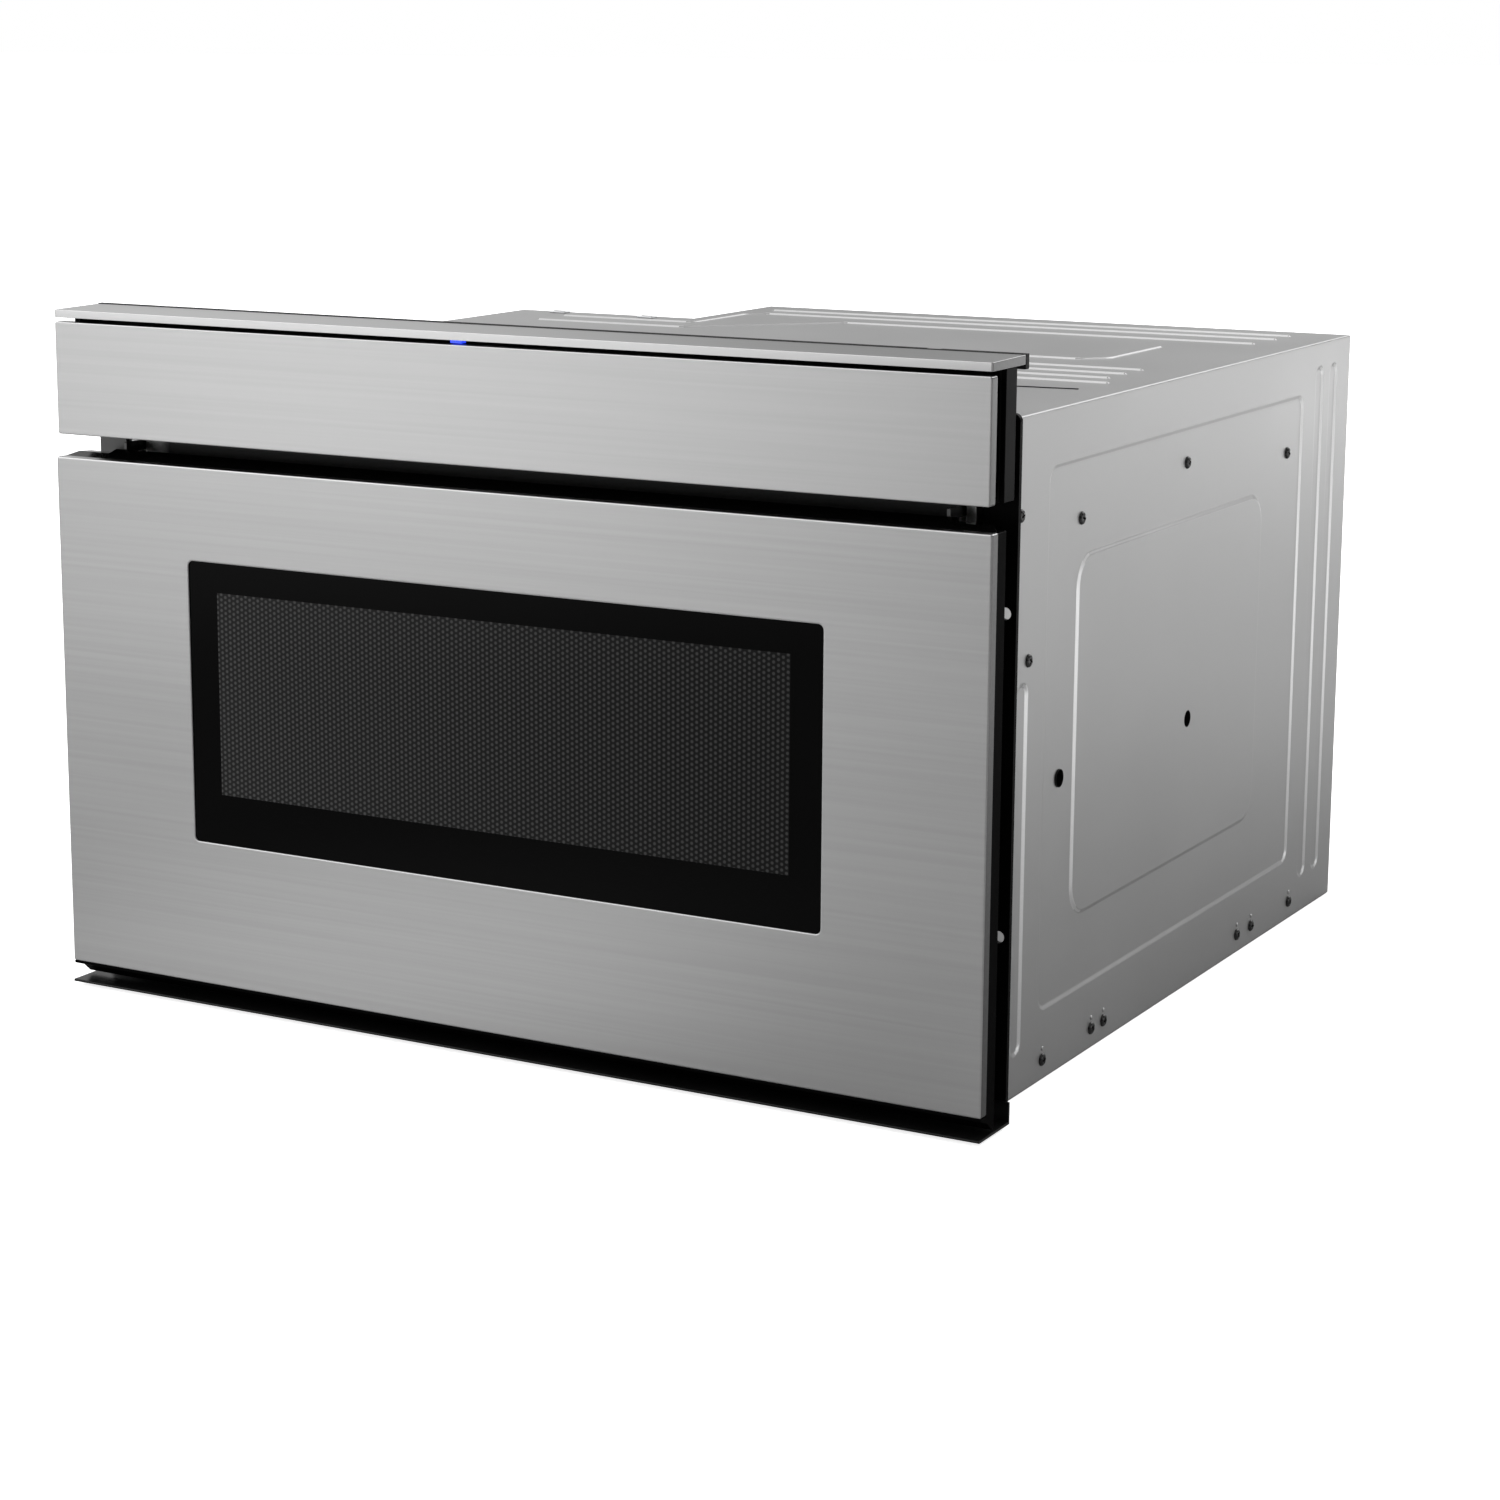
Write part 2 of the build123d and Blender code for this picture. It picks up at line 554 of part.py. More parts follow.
MAGNETRON_SIZE = (90.0, 78.0)
MAGNETRON_TOP = 172.0
MAGNETRON_FINS = 6
FIN_Z = (90.0, 150.0)
FIN_THICK = 1.5
ANODE_R = 20.0
DOME_DROP = 18.0
YOKE_END = 4.0  # the yoke's plates, top and bottom
YOKE_SIDE = 2.0
magnetron_x = across(MAGNETRON_SIZE[0] / 2)
magnetron_y = grown((MAGNETRON_Y, MAGNETRON_Y), MAGNETRON_SIZE[1] / 2)
with BuildPart() as magnetron:
    for plate in ((GUIDE_TOP, GUIDE_TOP + YOKE_END), (MAGNETRON_TOP - YOKE_END, MAGNETRON_TOP)):
        slab(magnetron_x, magnetron_y, plate)
    for side in (-1, 1):
        face = MAGNETRON_Y + side * MAGNETRON_SIZE[1] / 2
        slab(magnetron_x, sorted((face, face - side * YOKE_SIDE)), (GUIDE_TOP, MAGNETRON_TOP))
    with BuildSketch(Plane.XY.offset(GUIDE_TOP)):
        with Locations((0, MAGNETRON_Y)):
            Circle(ANODE_R)
    extrude(amount=MAGNETRON_TOP - GUIDE_TOP)
    for fin in range(MAGNETRON_FINS):
        fin_z = FIN_Z[0] + fin * (FIN_Z[1] - FIN_Z[0]) / (MAGNETRON_FINS - 1)
        slab(magnetron_x, magnetron_y, (fin_z, fin_z + FIN_THICK))
    with BuildSketch(Plane.XY.offset(GUIDE_TOP - DOME_DROP)):
        with Locations((0, MAGNETRON_Y)):
            Circle(DOME_R)
    extrude(amount=DOME_DROP)
finish(magnetron, "magnetron")

# ================================ cooling =========================================
BAFFLE_X = FAN_X + FAN_DEPTH
SHROUD_WALL = 3.0
baffle_y = (cavity_rear_y + SHEET, REAR_Y - SHEET)
FAN_MOTOR_R = 19.0
FAN_MOTOR_LENGTH = 12.0
STRUT = 5.0
with BuildPart() as fan_baffle:
    with BuildSketch(Plane.YZ.offset(BAFFLE_X)):
        rect(baffle_y, wall_z)
        with Locations((FAN_Y, FAN_Z)):
            Circle(FAN_BORE_R, mode=Mode.SUBTRACT)
    extrude(amount=BIN_WALL)
    with BuildSketch(Plane.YZ.offset(FAN_X)):
        with Locations((FAN_Y, FAN_Z)):
            Circle(FAN_BORE_R + SHROUD_WALL)
            Circle(FAN_BORE_R, mode=Mode.SUBTRACT)
    extrude(amount=FAN_DEPTH)
    # struts across the far face carry the motor
    with BuildSketch(Plane.YZ.offset(BAFFLE_X)):
        with Locations((FAN_Y, FAN_Z)):
            Rectangle(2 * FAN_BORE_R + 1, STRUT)
            Rectangle(STRUT, 2 * FAN_BORE_R + 1)
    extrude(amount=BIN_WALL)
finish(fan_baffle, "fan_baffle")

FAN_SHAFT_R = 2.0
FAN_SHAFT = 10.0
with BuildPart() as fan_motor:
    with BuildSketch(Plane.YZ.offset(BAFFLE_X - FAN_MOTOR_LENGTH)):
        with Locations((FAN_Y, FAN_Z)):
            Circle(FAN_MOTOR_R)
    extrude(amount=FAN_MOTOR_LENGTH)
    with BuildSketch(Plane.YZ.offset(BAFFLE_X - FAN_MOTOR_LENGTH)):
        with Locations((FAN_Y, FAN_Z)):
            Circle(FAN_SHAFT_R + SHAFT_CLEARANCE)
    extrude(amount=FAN_SHAFT + RUNNING, mode=Mode.SUBTRACT)
finish(fan_motor, "fan_motor")

FAN_HUB_R = 20.0
FAN_HUB = 11.0
BLADE_THICK = 1.6
BLADE_PITCH = 32.0
BLADE_TIP_GAP = 2.0
hub_x = (BAFFLE_X - FAN_MOTOR_LENGTH - RUNNING - FAN_HUB, BAFFLE_X - FAN_MOTOR_LENGTH - RUNNING)
with BuildPart() as cooling_fan:
    with BuildSketch(Plane.YZ.offset(hub_x[0])):
        with Locations((FAN_Y, FAN_Z)):
            Circle(FAN_HUB_R)
    extrude(amount=FAN_HUB)
    with BuildSketch(Plane.YZ.offset(hub_x[1])):
        with Locations((FAN_Y, FAN_Z)):
            Circle(FAN_SHAFT_R)
    extrude(amount=FAN_SHAFT + RUNNING)
    blade_span = (FAN_HUB_R - 1, FAN_BORE_R - BLADE_TIP_GAP)
    hub_centre = Location(((hub_x[0] + hub_x[1]) / 2, FAN_Y, FAN_Z))
    for blade in range(FAN_BLADES):
        turn = Location((0, 0, 0), (blade * 360 / FAN_BLADES, 0, 0))
        reach = Location((0, 0, sum(blade_span) / 2), (0, 0, BLADE_PITCH))
        with Locations(hub_centre * turn * reach):
            Box(BLADE_THICK, FAN_HUB * 1.4, blade_span[1] - blade_span[0])
finish(cooling_fan, "cooling_fan")

DUCT_X = (-40.0, 100.0)
DUCT_Z = (CAVITY_CEILING + SHEET, CASE_HEIGHT - 25.0)
DUCT_END_GAP = 6.0
duct_y = (frame_back + SHEET, cavity_rear_y - DUCT_END_GAP)
with BuildPart() as exhaust_duct:
    with BuildSketch(facing(duct_y[1])):
        rect(DUCT_X, DUCT_Z)
        rect(grown(DUCT_X, -BIN_WALL), grown(DUCT_Z, -BIN_WALL), mode=Mode.SUBTRACT)
    extrude(amount=duct_y[1] - duct_y[0])
finish(exhaust_duct, "exhaust_duct")

# ================================ electrics =======================================
BOARD_THICK = 1.6
STANDOFF_R = 3.0


def board_with_posts(x_span, y_span, floor_z, height):
    # a circuit board on four posts
    with BuildPart() as board:
        slab(x_span, y_span, (floor_z + height, floor_z + height + BOARD_THICK))
        inset = -2 * STANDOFF_R
        corners = [(x, y) for x in grown(x_span, inset) for y in grown(y_span, inset)]
        with BuildSketch(Plane.XY.offset(floor_z)):
            with Locations(*corners):
                Circle(STANDOFF_R)
        extrude(amount=height)
    return board


INVERTER_X = (CASE_HALF - 149.0, CASE_HALF - 12.0)
INVERTER_Y = (REAR_Y - 107.3, REAR_Y - 9.3)
INVERTER_POST = 11.0
inverter_board = board_with_posts(INVERTER_X, INVERTER_Y, SHEET, INVERTER_POST)
finish(inverter_board, "inverter_board")

board_top = SHEET + INVERTER_POST + BOARD_THICK
CORE_X = (CASE_HALF - 147.0, CASE_HALF - 93.0)
CORE_Y = (REAR_Y - 90.3, REAR_Y - 37.3)
CORE_HEIGHT = 52.0
WINDING_X = -9.0  # the winding is narrower than the core and stands out of its ends
WINDING_Y = 8.0
WINDING_Z = -12.0
with BuildPart() as high_voltage_transformer:
    core_z = (board_top, board_top + CORE_HEIGHT)
    slab(CORE_X, CORE_Y, core_z)
    slab(grown(CORE_X, WINDING_X), grown(CORE_Y, WINDING_Y), grown(core_z, WINDING_Z))
finish(high_voltage_transformer, "high_voltage_transformer")

SINK_X = (CASE_HALF - 80.0, CASE_HALF - 24.0)
SINK_Y = (REAR_Y - 93.3, REAR_Y - 27.3)
SINK_HEIGHT = 46.0
SINK_FINS = 7
SINK_BASE = 6.0
SINK_FIN = 2.0
with BuildPart() as heat_sink:
    slab(SINK_X, SINK_Y, (board_top, board_top + SINK_BASE))
    for fin in range(SINK_FINS):
        fin_x = SINK_X[0] + fin * (SINK_X[1] - SINK_X[0] - SINK_FIN) / (SINK_FINS - 1)
        slab((fin_x, fin_x + SINK_FIN), SINK_Y, (board_top, board_top + SINK_HEIGHT))
finish(heat_sink, "heat_sink")

ceiling_outside = CAVITY_CEILING + SHEET
POWER_BOARD_X = (-205.0, -70.0)
POWER_BOARD_Y = (-150.0, 30.0)
POWER_BOARD_POST = 8.0
RELAYS = [(-180.0, -120.0), (-150.0, -120.0), (-120.0, -120.0), (-100.0, -60.0)]
RELAY_SIZE = (18.0, 24.0, 16.0)
with BuildPart() as power_board:
    add(board_with_posts(POWER_BOARD_X, POWER_BOARD_Y, ceiling_outside, POWER_BOARD_POST).part)
    relay_z = ceiling_outside + POWER_BOARD_POST + BOARD_THICK
    for x, y in RELAYS:
        slab((x, x + RELAY_SIZE[0]), (y, y + RELAY_SIZE[1]), (relay_z, relay_z + RELAY_SIZE[2]))
finish(power_board, "power_board")

FILTER_X = (CAVITY_HALF - 107.85, CAVITY_HALF - 27.85)
FILTER_Y = (pan_rear - 104.5, pan_rear - 34.5)
FILTER_HEIGHT = 34.0
FILTER_EDGE_R = 3.0
with BuildPart() as line_filter:
    slab(FILTER_X, FILTER_Y, (ceiling_outside, ceiling_outside + FILTER_HEIGHT))
    top_edges = line_filter.edges().group_by(Axis.Z)[-1]
    fillet(top_edges, FILTER_EDGE_R)
finish(line_filter, "line_filter")

LAMP_BOX = (26.0, 44.0, 42.0)
LAMP_BULB_R = 9.0
lamp_x = (cavity_outer, cavity_outer + LAMP_BOX[0])
lamp_y = grown((LAMP_Y, LAMP_Y), LAMP_BOX[1] / 2)
lamp_z = grown((LAMP_Z, LAMP_Z), LAMP_BOX[2] / 2)
with BuildPart() as lamp_housing:
    slab(lamp_x, lamp_y, lamp_z)
    slab((lamp_x[0], lamp_x[1] - BIN_WALL), grown(lamp_y, -BIN_WALL), grown(lamp_z, -BIN_WALL),
         Mode.SUBTRACT)
finish(lamp_housing, "lamp_housing")

with BuildPart() as cavity_lamp:
    with BuildSketch(Plane.YZ.offset(lamp_x[1] - BIN_WALL)):
        with Locations((LAMP_Y, LAMP_Z)):
            Circle(LAMP_BULB_R)
    extrude(amount=-(LAMP_BOX[0] - 2 * BIN_WALL))
    far_edge = cavity_lamp.edges().group_by(Axis.X)[0]
    fillet(far_edge, LAMP_BULB_R / 2)
finish(cavity_lamp, "cavity_lamp")

# ================================ drawer slides ===================================
SLIDE_START = 4.0  # behind the flange's front
INNER_END_GAP = 8.0
slide_y = (flange_front + SLIDE_START, flange_front + SLIDE_START + SLIDE_LENGTH)
CARRIER_THICK = 3.0
carrier_y = (back(DOOR_FRAME_DEPTH), back(DOOR_FRAME_DEPTH) + CARRIER_THICK)
outer_web = (SLIDE_X - SLIDE_SHEET, SLIDE_X)
outer_z = (SLIDE_Z, SLIDE_Z + SLIDE_HEIGHT)
ball_space = 2 * (BALL_R + BALL_GAP)
middle_z = grown(outer_z, -SLIDE_SHEET - ball_space)
middle_web_x = outer_web[0] - SLIDE_SIDE_GAP
inner_z = grown(middle_z, -SLIDE_SHEET - ball_space)
lip_x_in = SLIDE_X - SLIDE_SHEET - SLIDE_LIP
inner_x = (lip_x_in, lip_x_in + INNER_BAR)
ball_x = (lip_x_in + middle_web_x - SLIDE_SHEET) / 2


def both_sides(builder):
    # the same piece again, on the drawer's other side
    return mirror(builder.part, about=Plane.YZ, mode=Mode.PRIVATE)


def channel(web_x, heights, y_span):
    # C-section open towards the drawer's middle, web_x is its outer face
    with BuildPart() as profile:
        with BuildSketch(facing(y_span[1])):
            rect((lip_x_in, web_x), heights)
            rect((lip_x_in - SHEET, web_x - SLIDE_SHEET), grown(heights, -SLIDE_SHEET),
                 mode=Mode.SUBTRACT)
        extrude(amount=y_span[1] - y_span[0])
    return profile


with BuildPart() as outer_slides:
    outer = channel(SLIDE_X, outer_z, slide_y)
    add(outer.part)
    add(both_sides(outer))
finish(outer_slides, "outer_slides")

with BuildPart() as middle_slides:
    middle = channel(middle_web_x, middle_z, slide_y)
    add(middle.part)
    add(both_sides(middle))
finish(middle_slides, "middle_slides")

with BuildPart() as inner_slides:
    bar_y = (carrier_y[1], slide_y[1] - INNER_END_GAP)
    slab(inner_x, bar_y, inner_z)
    slab(tuple(-x for x in reversed(inner_x)), bar_y, inner_z)
finish(inner_slides, "inner_slides")

BALL_PITCH = 56.0
BALL_COUNT = 7
BALL_START = 24.0
ball_heights = []
for edge_out, edge_in in zip(outer_z, middle_z):
    direction = 1 if edge_in > edge_out else -1
    ball_heights.append(edge_in - direction * ball_space / 2)
for edge_out, edge_in in zip(middle_z, inner_z):
    direction = 1 if edge_in > edge_out else -1
    ball_heights.append(edge_in - direction * ball_space / 2)
with BuildPart() as slide_bearings:
    for side in (-1, 1):
        for height in ball_heights:
            near_inner = inner_z[0] - ball_space < height < inner_z[1] + ball_space
            x = sum(inner_x) / 2 if near_inner else ball_x
            rows = [(side * x, slide_y[0] + BALL_START + n * BALL_PITCH, height)
                    for n in range(BALL_COUNT)]
            with Locations(*rows):
                Sphere(BALL_R)
finish(slide_bearings, "slide_bearings")

BRACKET_FOOT = 20.0
BRACKET_MARGIN = 10.0
with BuildPart() as slide_brackets:
    bracket_y = grown(slide_y, -BRACKET_MARGIN)
    for side in (-1, 1):
        web = sorted((side * SLIDE_X, side * (SLIDE_X + SLIDE_SHEET)))
        foot = sorted((side * SLIDE_X, side * (SLIDE_X + BRACKET_FOOT)))
        slab(web, bracket_y, (SHEET, outer_z[1]))
        slab(foot, bracket_y, (SHEET, SHEET + SLIDE_SHEET))
finish(slide_brackets, "slide_brackets")

# ================================ drive ===========================================
PRESSURE = radians(20)
ADDENDUM = GEAR_MODULE
DEDENDUM = 1.25 * GEAR_MODULE
PITCH = pi * GEAR_MODULE
pinion_y = back(PINION_DEPTH)
pinion_z = RACK_PITCH_Z - PINION_R
gear_x = grown((RACK_X, RACK_X), GEAR_FACE / 2)


def rack_points():
    # teeth point down, and a gap stands over the pinion's middle
    points = []
    first = pinion_y + PITCH / 2
    half_root = PITCH / 4 - GEAR_BACKLASH / 2 + DEDENDUM * tan(PRESSURE)
    half_tip = PITCH / 4 - GEAR_BACKLASH / 2 - ADDENDUM * tan(PRESSURE)
    root_z = RACK_PITCH_Z + DEDENDUM
    tip_z = RACK_PITCH_Z - ADDENDUM
    low = rack_y[0] + half_root
    start = int((low - first) / PITCH)
    for tooth in range(start, start + int(RACK_LENGTH / PITCH) + 2):
        centre = first + tooth * PITCH
        if rack_y[0] < centre - half_root and centre + half_root < rack_y[1]:
            points += [(centre - half_root, root_z), (centre - half_tip, tip_z),
                       (centre + half_tip, tip_z), (centre + half_root, root_z)]
    return points


rack_y = (carrier_y[1], carrier_y[1] + RACK_LENGTH)
with BuildPart() as drive_rack:
    top = RACK_PITCH_Z + DEDENDUM + RACK_BACK
    with BuildSketch(Plane.YZ.offset(gear_x[0])):
        with BuildLine():
            Polyline((rack_y[0], top), (rack_y[0], RACK_PITCH_Z + DEDENDUM), *rack_points(),
                     (rack_y[1], RACK_PITCH_Z + DEDENDUM), (rack_y[1], top), close=True)
        make_face()
    extrude(amount=GEAR_FACE)
finish(drive_rack, "drive_rack")

FLANK_STEPS = 4
PINION_FACE = 9.0
HUB_R = 7.0
MOTOR_X = (56.0, 98.0)
MOTOR_HALF_Y = 20.0
MOTOR_Z = (14.0, 54.0)
MOTOR_EDGE_R = 4.0
MOTOR_FOOT = 6.0  # a foot's thickness, and its distance from the motor's end


def involute(radius, base_r):
    # angle that an involute has turned through where it reaches the radius
    roll = max((radius / base_r) ** 2 - 1, 0) ** 0.5
    return roll - atan(roll)


def pinion_points():
    base_r = PINION_R * cos(PRESSURE)
    root_r = PINION_R - DEDENDUM
    tip_r = PINION_R + ADDENDUM
    half_tooth = (PITCH / 2 - GEAR_BACKLASH) / (2 * PINION_R) + involute(PINION_R, base_r)
    radii = [base_r + (tip_r - base_r) * step / FLANK_STEPS for step in range(FLANK_STEPS + 1)]
    points = []
    for tooth in range(PINION_TEETH):
        middle = pi / 2 + 2 * pi * tooth / PINION_TEETH
        rising = [(r, middle - half_tooth + involute(r, base_r)) for r in radii]
        falling = [(r, 2 * middle - angle) for r, angle in reversed(rising)]
        for r, angle in [(root_r, rising[0][1]), *rising, *falling, (root_r, falling[-1][1])]:
            points.append((pinion_y + r * cos(angle), pinion_z + r * sin(angle)))
    return points


with BuildPart() as drive_pinion:
    with BuildSketch(Plane.YZ.offset(RACK_X - PINION_FACE / 2)):
        with BuildLine():
            Polyline(*pinion_points(), close=True)
        make_face()
    extrude(amount=PINION_FACE)
    with BuildSketch(Plane.YZ.offset(MOTOR_X[1] + RUNNING)):
        with Locations((pinion_y, pinion_z)):
            Circle(HUB_R)
    extrude(amount=RACK_X - MOTOR_X[1] - RUNNING)
    with BuildSketch(Plane.YZ.offset(MOTOR_X[1] - SHAFT_ENTRY)):
        with Locations((pinion_y, pinion_z)):
            Circle(PINION_SHAFT_R)
    extrude(amount=RACK_X - MOTOR_X[1] + SHAFT_ENTRY)
finish(drive_pinion, "drive_pinion")

with BuildPart() as drive_motor:
    slab(MOTOR_X, grown((pinion_y, pinion_y), MOTOR_HALF_Y), MOTOR_Z)
    edges_up = drive_motor.edges().filter_by(Axis.X)
    fillet(edges_up, MOTOR_EDGE_R)
    # feet down to the base
    for y in (pinion_y - MOTOR_HALF_Y + MOTOR_FOOT, pinion_y + MOTOR_HALF_Y - 2 * MOTOR_FOOT):
        slab(grown(MOTOR_X, -MOTOR_FOOT), (y, y + MOTOR_FOOT), (SHEET, MOTOR_Z[0] + SHEET))
    with BuildSketch(Plane.YZ.offset(MOTOR_X[1] - SHAFT_ENTRY - RUNNING)):
        with Locations((pinion_y, pinion_z)):
            Circle(PINION_SHAFT_R + SHAFT_CLEARANCE)
    extrude(amount=SHAFT_ENTRY + RUNNING, mode=Mode.SUBTRACT)
finish(drive_motor, "drive_motor")

# ================================ drawer front ====================================
skin_z = (DOOR_BOTTOM, DOOR_TOP)
window_z = (WINDOW_BOTTOM, WINDOW_TOP)
skin_back = back(SHEET)
return_y = back(SKIN_RETURN)
SKIN_EDGE_R = 0.9
with BuildPart() as door_skin:
    slab(across(DOOR_HALF), (FACE_Y, return_y), skin_z)
    front_edges = door_skin.faces().sort_by(Axis.Y)[0].edges()
    fillet(front_edges, SKIN_EDGE_R)
    slab(across(DOOR_HALF - SHEET), (skin_back, return_y), grown(skin_z, -SHEET), Mode.SUBTRACT)
    with BuildSketch(facing(skin_back)):
        rect(across(WINDOW_HALF), window_z, WINDOW_RADIUS)
    extrude(amount=SHEET, mode=Mode.SUBTRACT)
finish(door_skin, "door_skin")

glass_x = across(WINDOW_HALF + GLASS_LAP)
glass_z = grown(window_z, GLASS_LAP)
glass_y = (skin_back, skin_back + GLASS_THICK)
with BuildPart() as window_glass:
    slab(glass_x, glass_y, glass_z)
finish(window_glass, "window_glass")

SCREEN_THICK = 0.6
web_y = (back(DOOR_FRAME_DEPTH - DOOR_FRAME_WEB), back(DOOR_FRAME_DEPTH))
with BuildPart() as window_screen:
    slab(glass_x, (glass_y[1], web_y[0]), glass_z)
    slab(grown(glass_x, -SCREEN_THICK), (glass_y[1] + SCREEN_THICK, web_y[0]),
         grown(glass_z, -SCREEN_THICK), Mode.SUBTRACT)
finish(window_screen, "window_screen")

# The black frame: a rim in the skin, a web, a rising ledge on top and a rim below.
OPENING_LAP = 3.0  # the frame's window opening inside the screen's edge
frame_half = DOOR_HALF - DOOR_FRAME_INSET
FRAME_FIT = 0.2
front_x = across(DOOR_HALF - SHEET - FRAME_FIT)
front_z = grown(skin_z, -SHEET - FRAME_FIT)
rear_z = (DOOR_BOTTOM - UNDER_STRIP, DOOR_TOP - DOOR_FRAME_INSET)
opening_x = grown(glass_x, -OPENING_LAP)
opening_z = grown(glass_z, -OPENING_LAP)
ledge_z = (rear_z[1] - DOOR_FRAME_WEB, DOOR_TOP + LEDGE_RISE)
ledge_back = back(LEDGE_DEPTH)
with BuildPart() as top_ledge:
    with BuildSketch(Plane.YZ.offset(-frame_half)):
        with BuildLine():
            Polyline(
                (return_y, rear_z[1]),
                (ledge_back, ledge_z[1]),
                (ledge_back, ledge_z[0]),
                (web_y[1] - SHEET, ledge_z[0]),
                (web_y[1] - SHEET, rear_z[1] - SHEET),
                (return_y, rear_z[1] - SHEET),
                close=True,
            )
        make_face()
    extrude(amount=2 * frame_half)
    # seen from above its ends run inwards, and beside the hooks it is lower
    with BuildSketch(Plane.XY.offset(ledge_z[0])):
        with BuildLine():
            Polyline(
                (-frame_half, return_y),
                (frame_half, return_y),
                (frame_half - LEDGE_INSET, ledge_back),
                (LEDGE_INSET - frame_half, ledge_back),
                close=True,
            )
        make_face()
    extrude(amount=ledge_z[1] - ledge_z[0], mode=Mode.INTERSECT)
    for side in (-1, 1):
        low_x = sorted((side * (DOOR_HALF - LEDGE_LOW_END), side * frame_half))
        slab(low_x, (return_y, ledge_back), (ledge_z[1] - LEDGE_LOW_DROP, ledge_z[1]),
             Mode.SUBTRACT)

with BuildPart() as door_frame:
    slab(front_x, (skin_back, return_y), front_z)
    slab(across(frame_half), (return_y, web_y[1]), rear_z)
    slab(grown(front_x, -DOOR_RIM), (skin_back, web_y[0]), grown(front_z, -DOOR_RIM), Mode.SUBTRACT)
    slab(opening_x, (skin_back, web_y[1]), opening_z, Mode.SUBTRACT)
    add(top_ledge.part)
    with BuildSketch(Plane.YZ.offset(-frame_half)):
        with BuildLine():
            Polyline(
                (back(DOOR_FRAME_INSET), DOOR_BOTTOM),
                (back(DOOR_FRAME_INSET), rear_z[0]),
                (back(UNDER_SLOPE_DEPTH), DOOR_BOTTOM - UNDER_SLOPE_DROP),
                (back(UNDER_RIM_DEPTH), DOOR_BOTTOM - UNDER_RIM_DROP),
                (web_y[1], DOOR_BOTTOM - UNDER_RIM_DROP),
                (web_y[1], DOOR_BOTTOM + SHEET),
                (return_y, DOOR_BOTTOM + SHEET),
                (return_y, DOOR_BOTTOM),
                close=True,
            )
        make_face()
    extrude(amount=2 * frame_half)
finish(door_frame, "door_frame")

# Microwave choke behind the frame: a channel ring, closed by a black cover.
CHOKE_HALF = DOOR_HALF - 41.25
CHOKE_Z = (72.0, DOOR_TOP - 5.9)
CHOKE_COVER = 3.4
COVER_RADIUS = 3.0
COVER_OPENING = (across(WINDOW_HALF - 5.0), (WINDOW_BOTTOM + 2.4, WINDOW_TOP - 0.8))
choke_y = (web_y[1], flange_front - RUNNING - CHOKE_COVER)
CHOKE_INNER = (across(WINDOW_HALF + 4.0), (WINDOW_BOTTOM - 6.6, WINDOW_TOP + 8.2))
with BuildPart() as choke_frame:
    slab(across(CHOKE_HALF), choke_y, CHOKE_Z)
    slab(across(CHOKE_HALF - SHEET), (choke_y[0] + SHEET, choke_y[1]), grown(CHOKE_Z, -SHEET),
         Mode.SUBTRACT)
    slab(CHOKE_INNER[0], choke_y, CHOKE_INNER[1])
    slab(grown(CHOKE_INNER[0], -SHEET), choke_y, grown(CHOKE_INNER[1], -SHEET), Mode.SUBTRACT)
finish(choke_frame, "choke_frame")

with BuildPart() as choke_cover:
    with BuildSketch(facing(choke_y[1] + CHOKE_COVER)):
        rect(across(CHOKE_HALF), CHOKE_Z, COVER_RADIUS)
        rect(*COVER_OPENING, COVER_RADIUS, Mode.SUBTRACT)
    extrude(amount=CHOKE_COVER)
finish(choke_cover, "choke_cover")

INNER_WINDOW_THICK = 3.0
PANE_FIT = 0.5
with BuildPart() as inner_window:
    slab(grown(CHOKE_INNER[0], -SHEET - PANE_FIT), (choke_y[1] - INNER_WINDOW_THICK, choke_y[1]),
         grown(CHOKE_INNER[1], -SHEET - PANE_FIT))
finish(inner_window, "inner_window")

hook_root_top = ledge_z[0] - RUNNING
hook_neck = (back(LEDGE_DEPTH + 1), back(LEDGE_DEPTH + 12))
NECK_CUT = (4.0, 6.0)  # the bevel under the neck
TONGUE_STEP = 3.0  # the tongue's underside above its catch
tip_y = back(HOOK_REACH)
barb_y = back(HOOK_REACH - HOOK_BARB)
with BuildPart() as latch_hooks:
    for side in (-1, 1):
        with BuildSketch(Plane.YZ.offset(side * HOOK_X - HOOK_THICK / 2)):
            with BuildLine():
                Polyline(
                    (web_y[1], HOOK_ROOT_Z),
                    (hook_neck[1] - NECK_CUT[0], HOOK_ROOT_Z),
                    (hook_neck[1], HOOK_ROOT_Z + NECK_CUT[1]),
                    (hook_neck[1], HOOK_TONGUE_Z[0] + TONGUE_STEP),
                    (barb_y, HOOK_TONGUE_Z[0] + TONGUE_STEP),
                    (barb_y, HOOK_TONGUE_Z[0]),
                    (tip_y, HOOK_TONGUE_Z[0] + HOOK_THICK),
                    (tip_y, HOOK_TONGUE_Z[1]),
                    (hook_neck[0], HOOK_TONGUE_Z[1]),
                    (hook_neck[0], hook_root_top),
                    (web_y[1], hook_root_top),
                    close=True,
                )
            make_face()
        extrude(amount=HOOK_THICK)
finish(latch_hooks, "latch_hooks")

CARRIER_Z = (22.0, 62.0)
CARRIER_END = 6.0  # beyond the inner slides
with BuildPart() as door_carrier:
    slab(across(inner_x[1] + CARRIER_END), carrier_y, CARRIER_Z)
finish(door_carrier, "door_carrier")

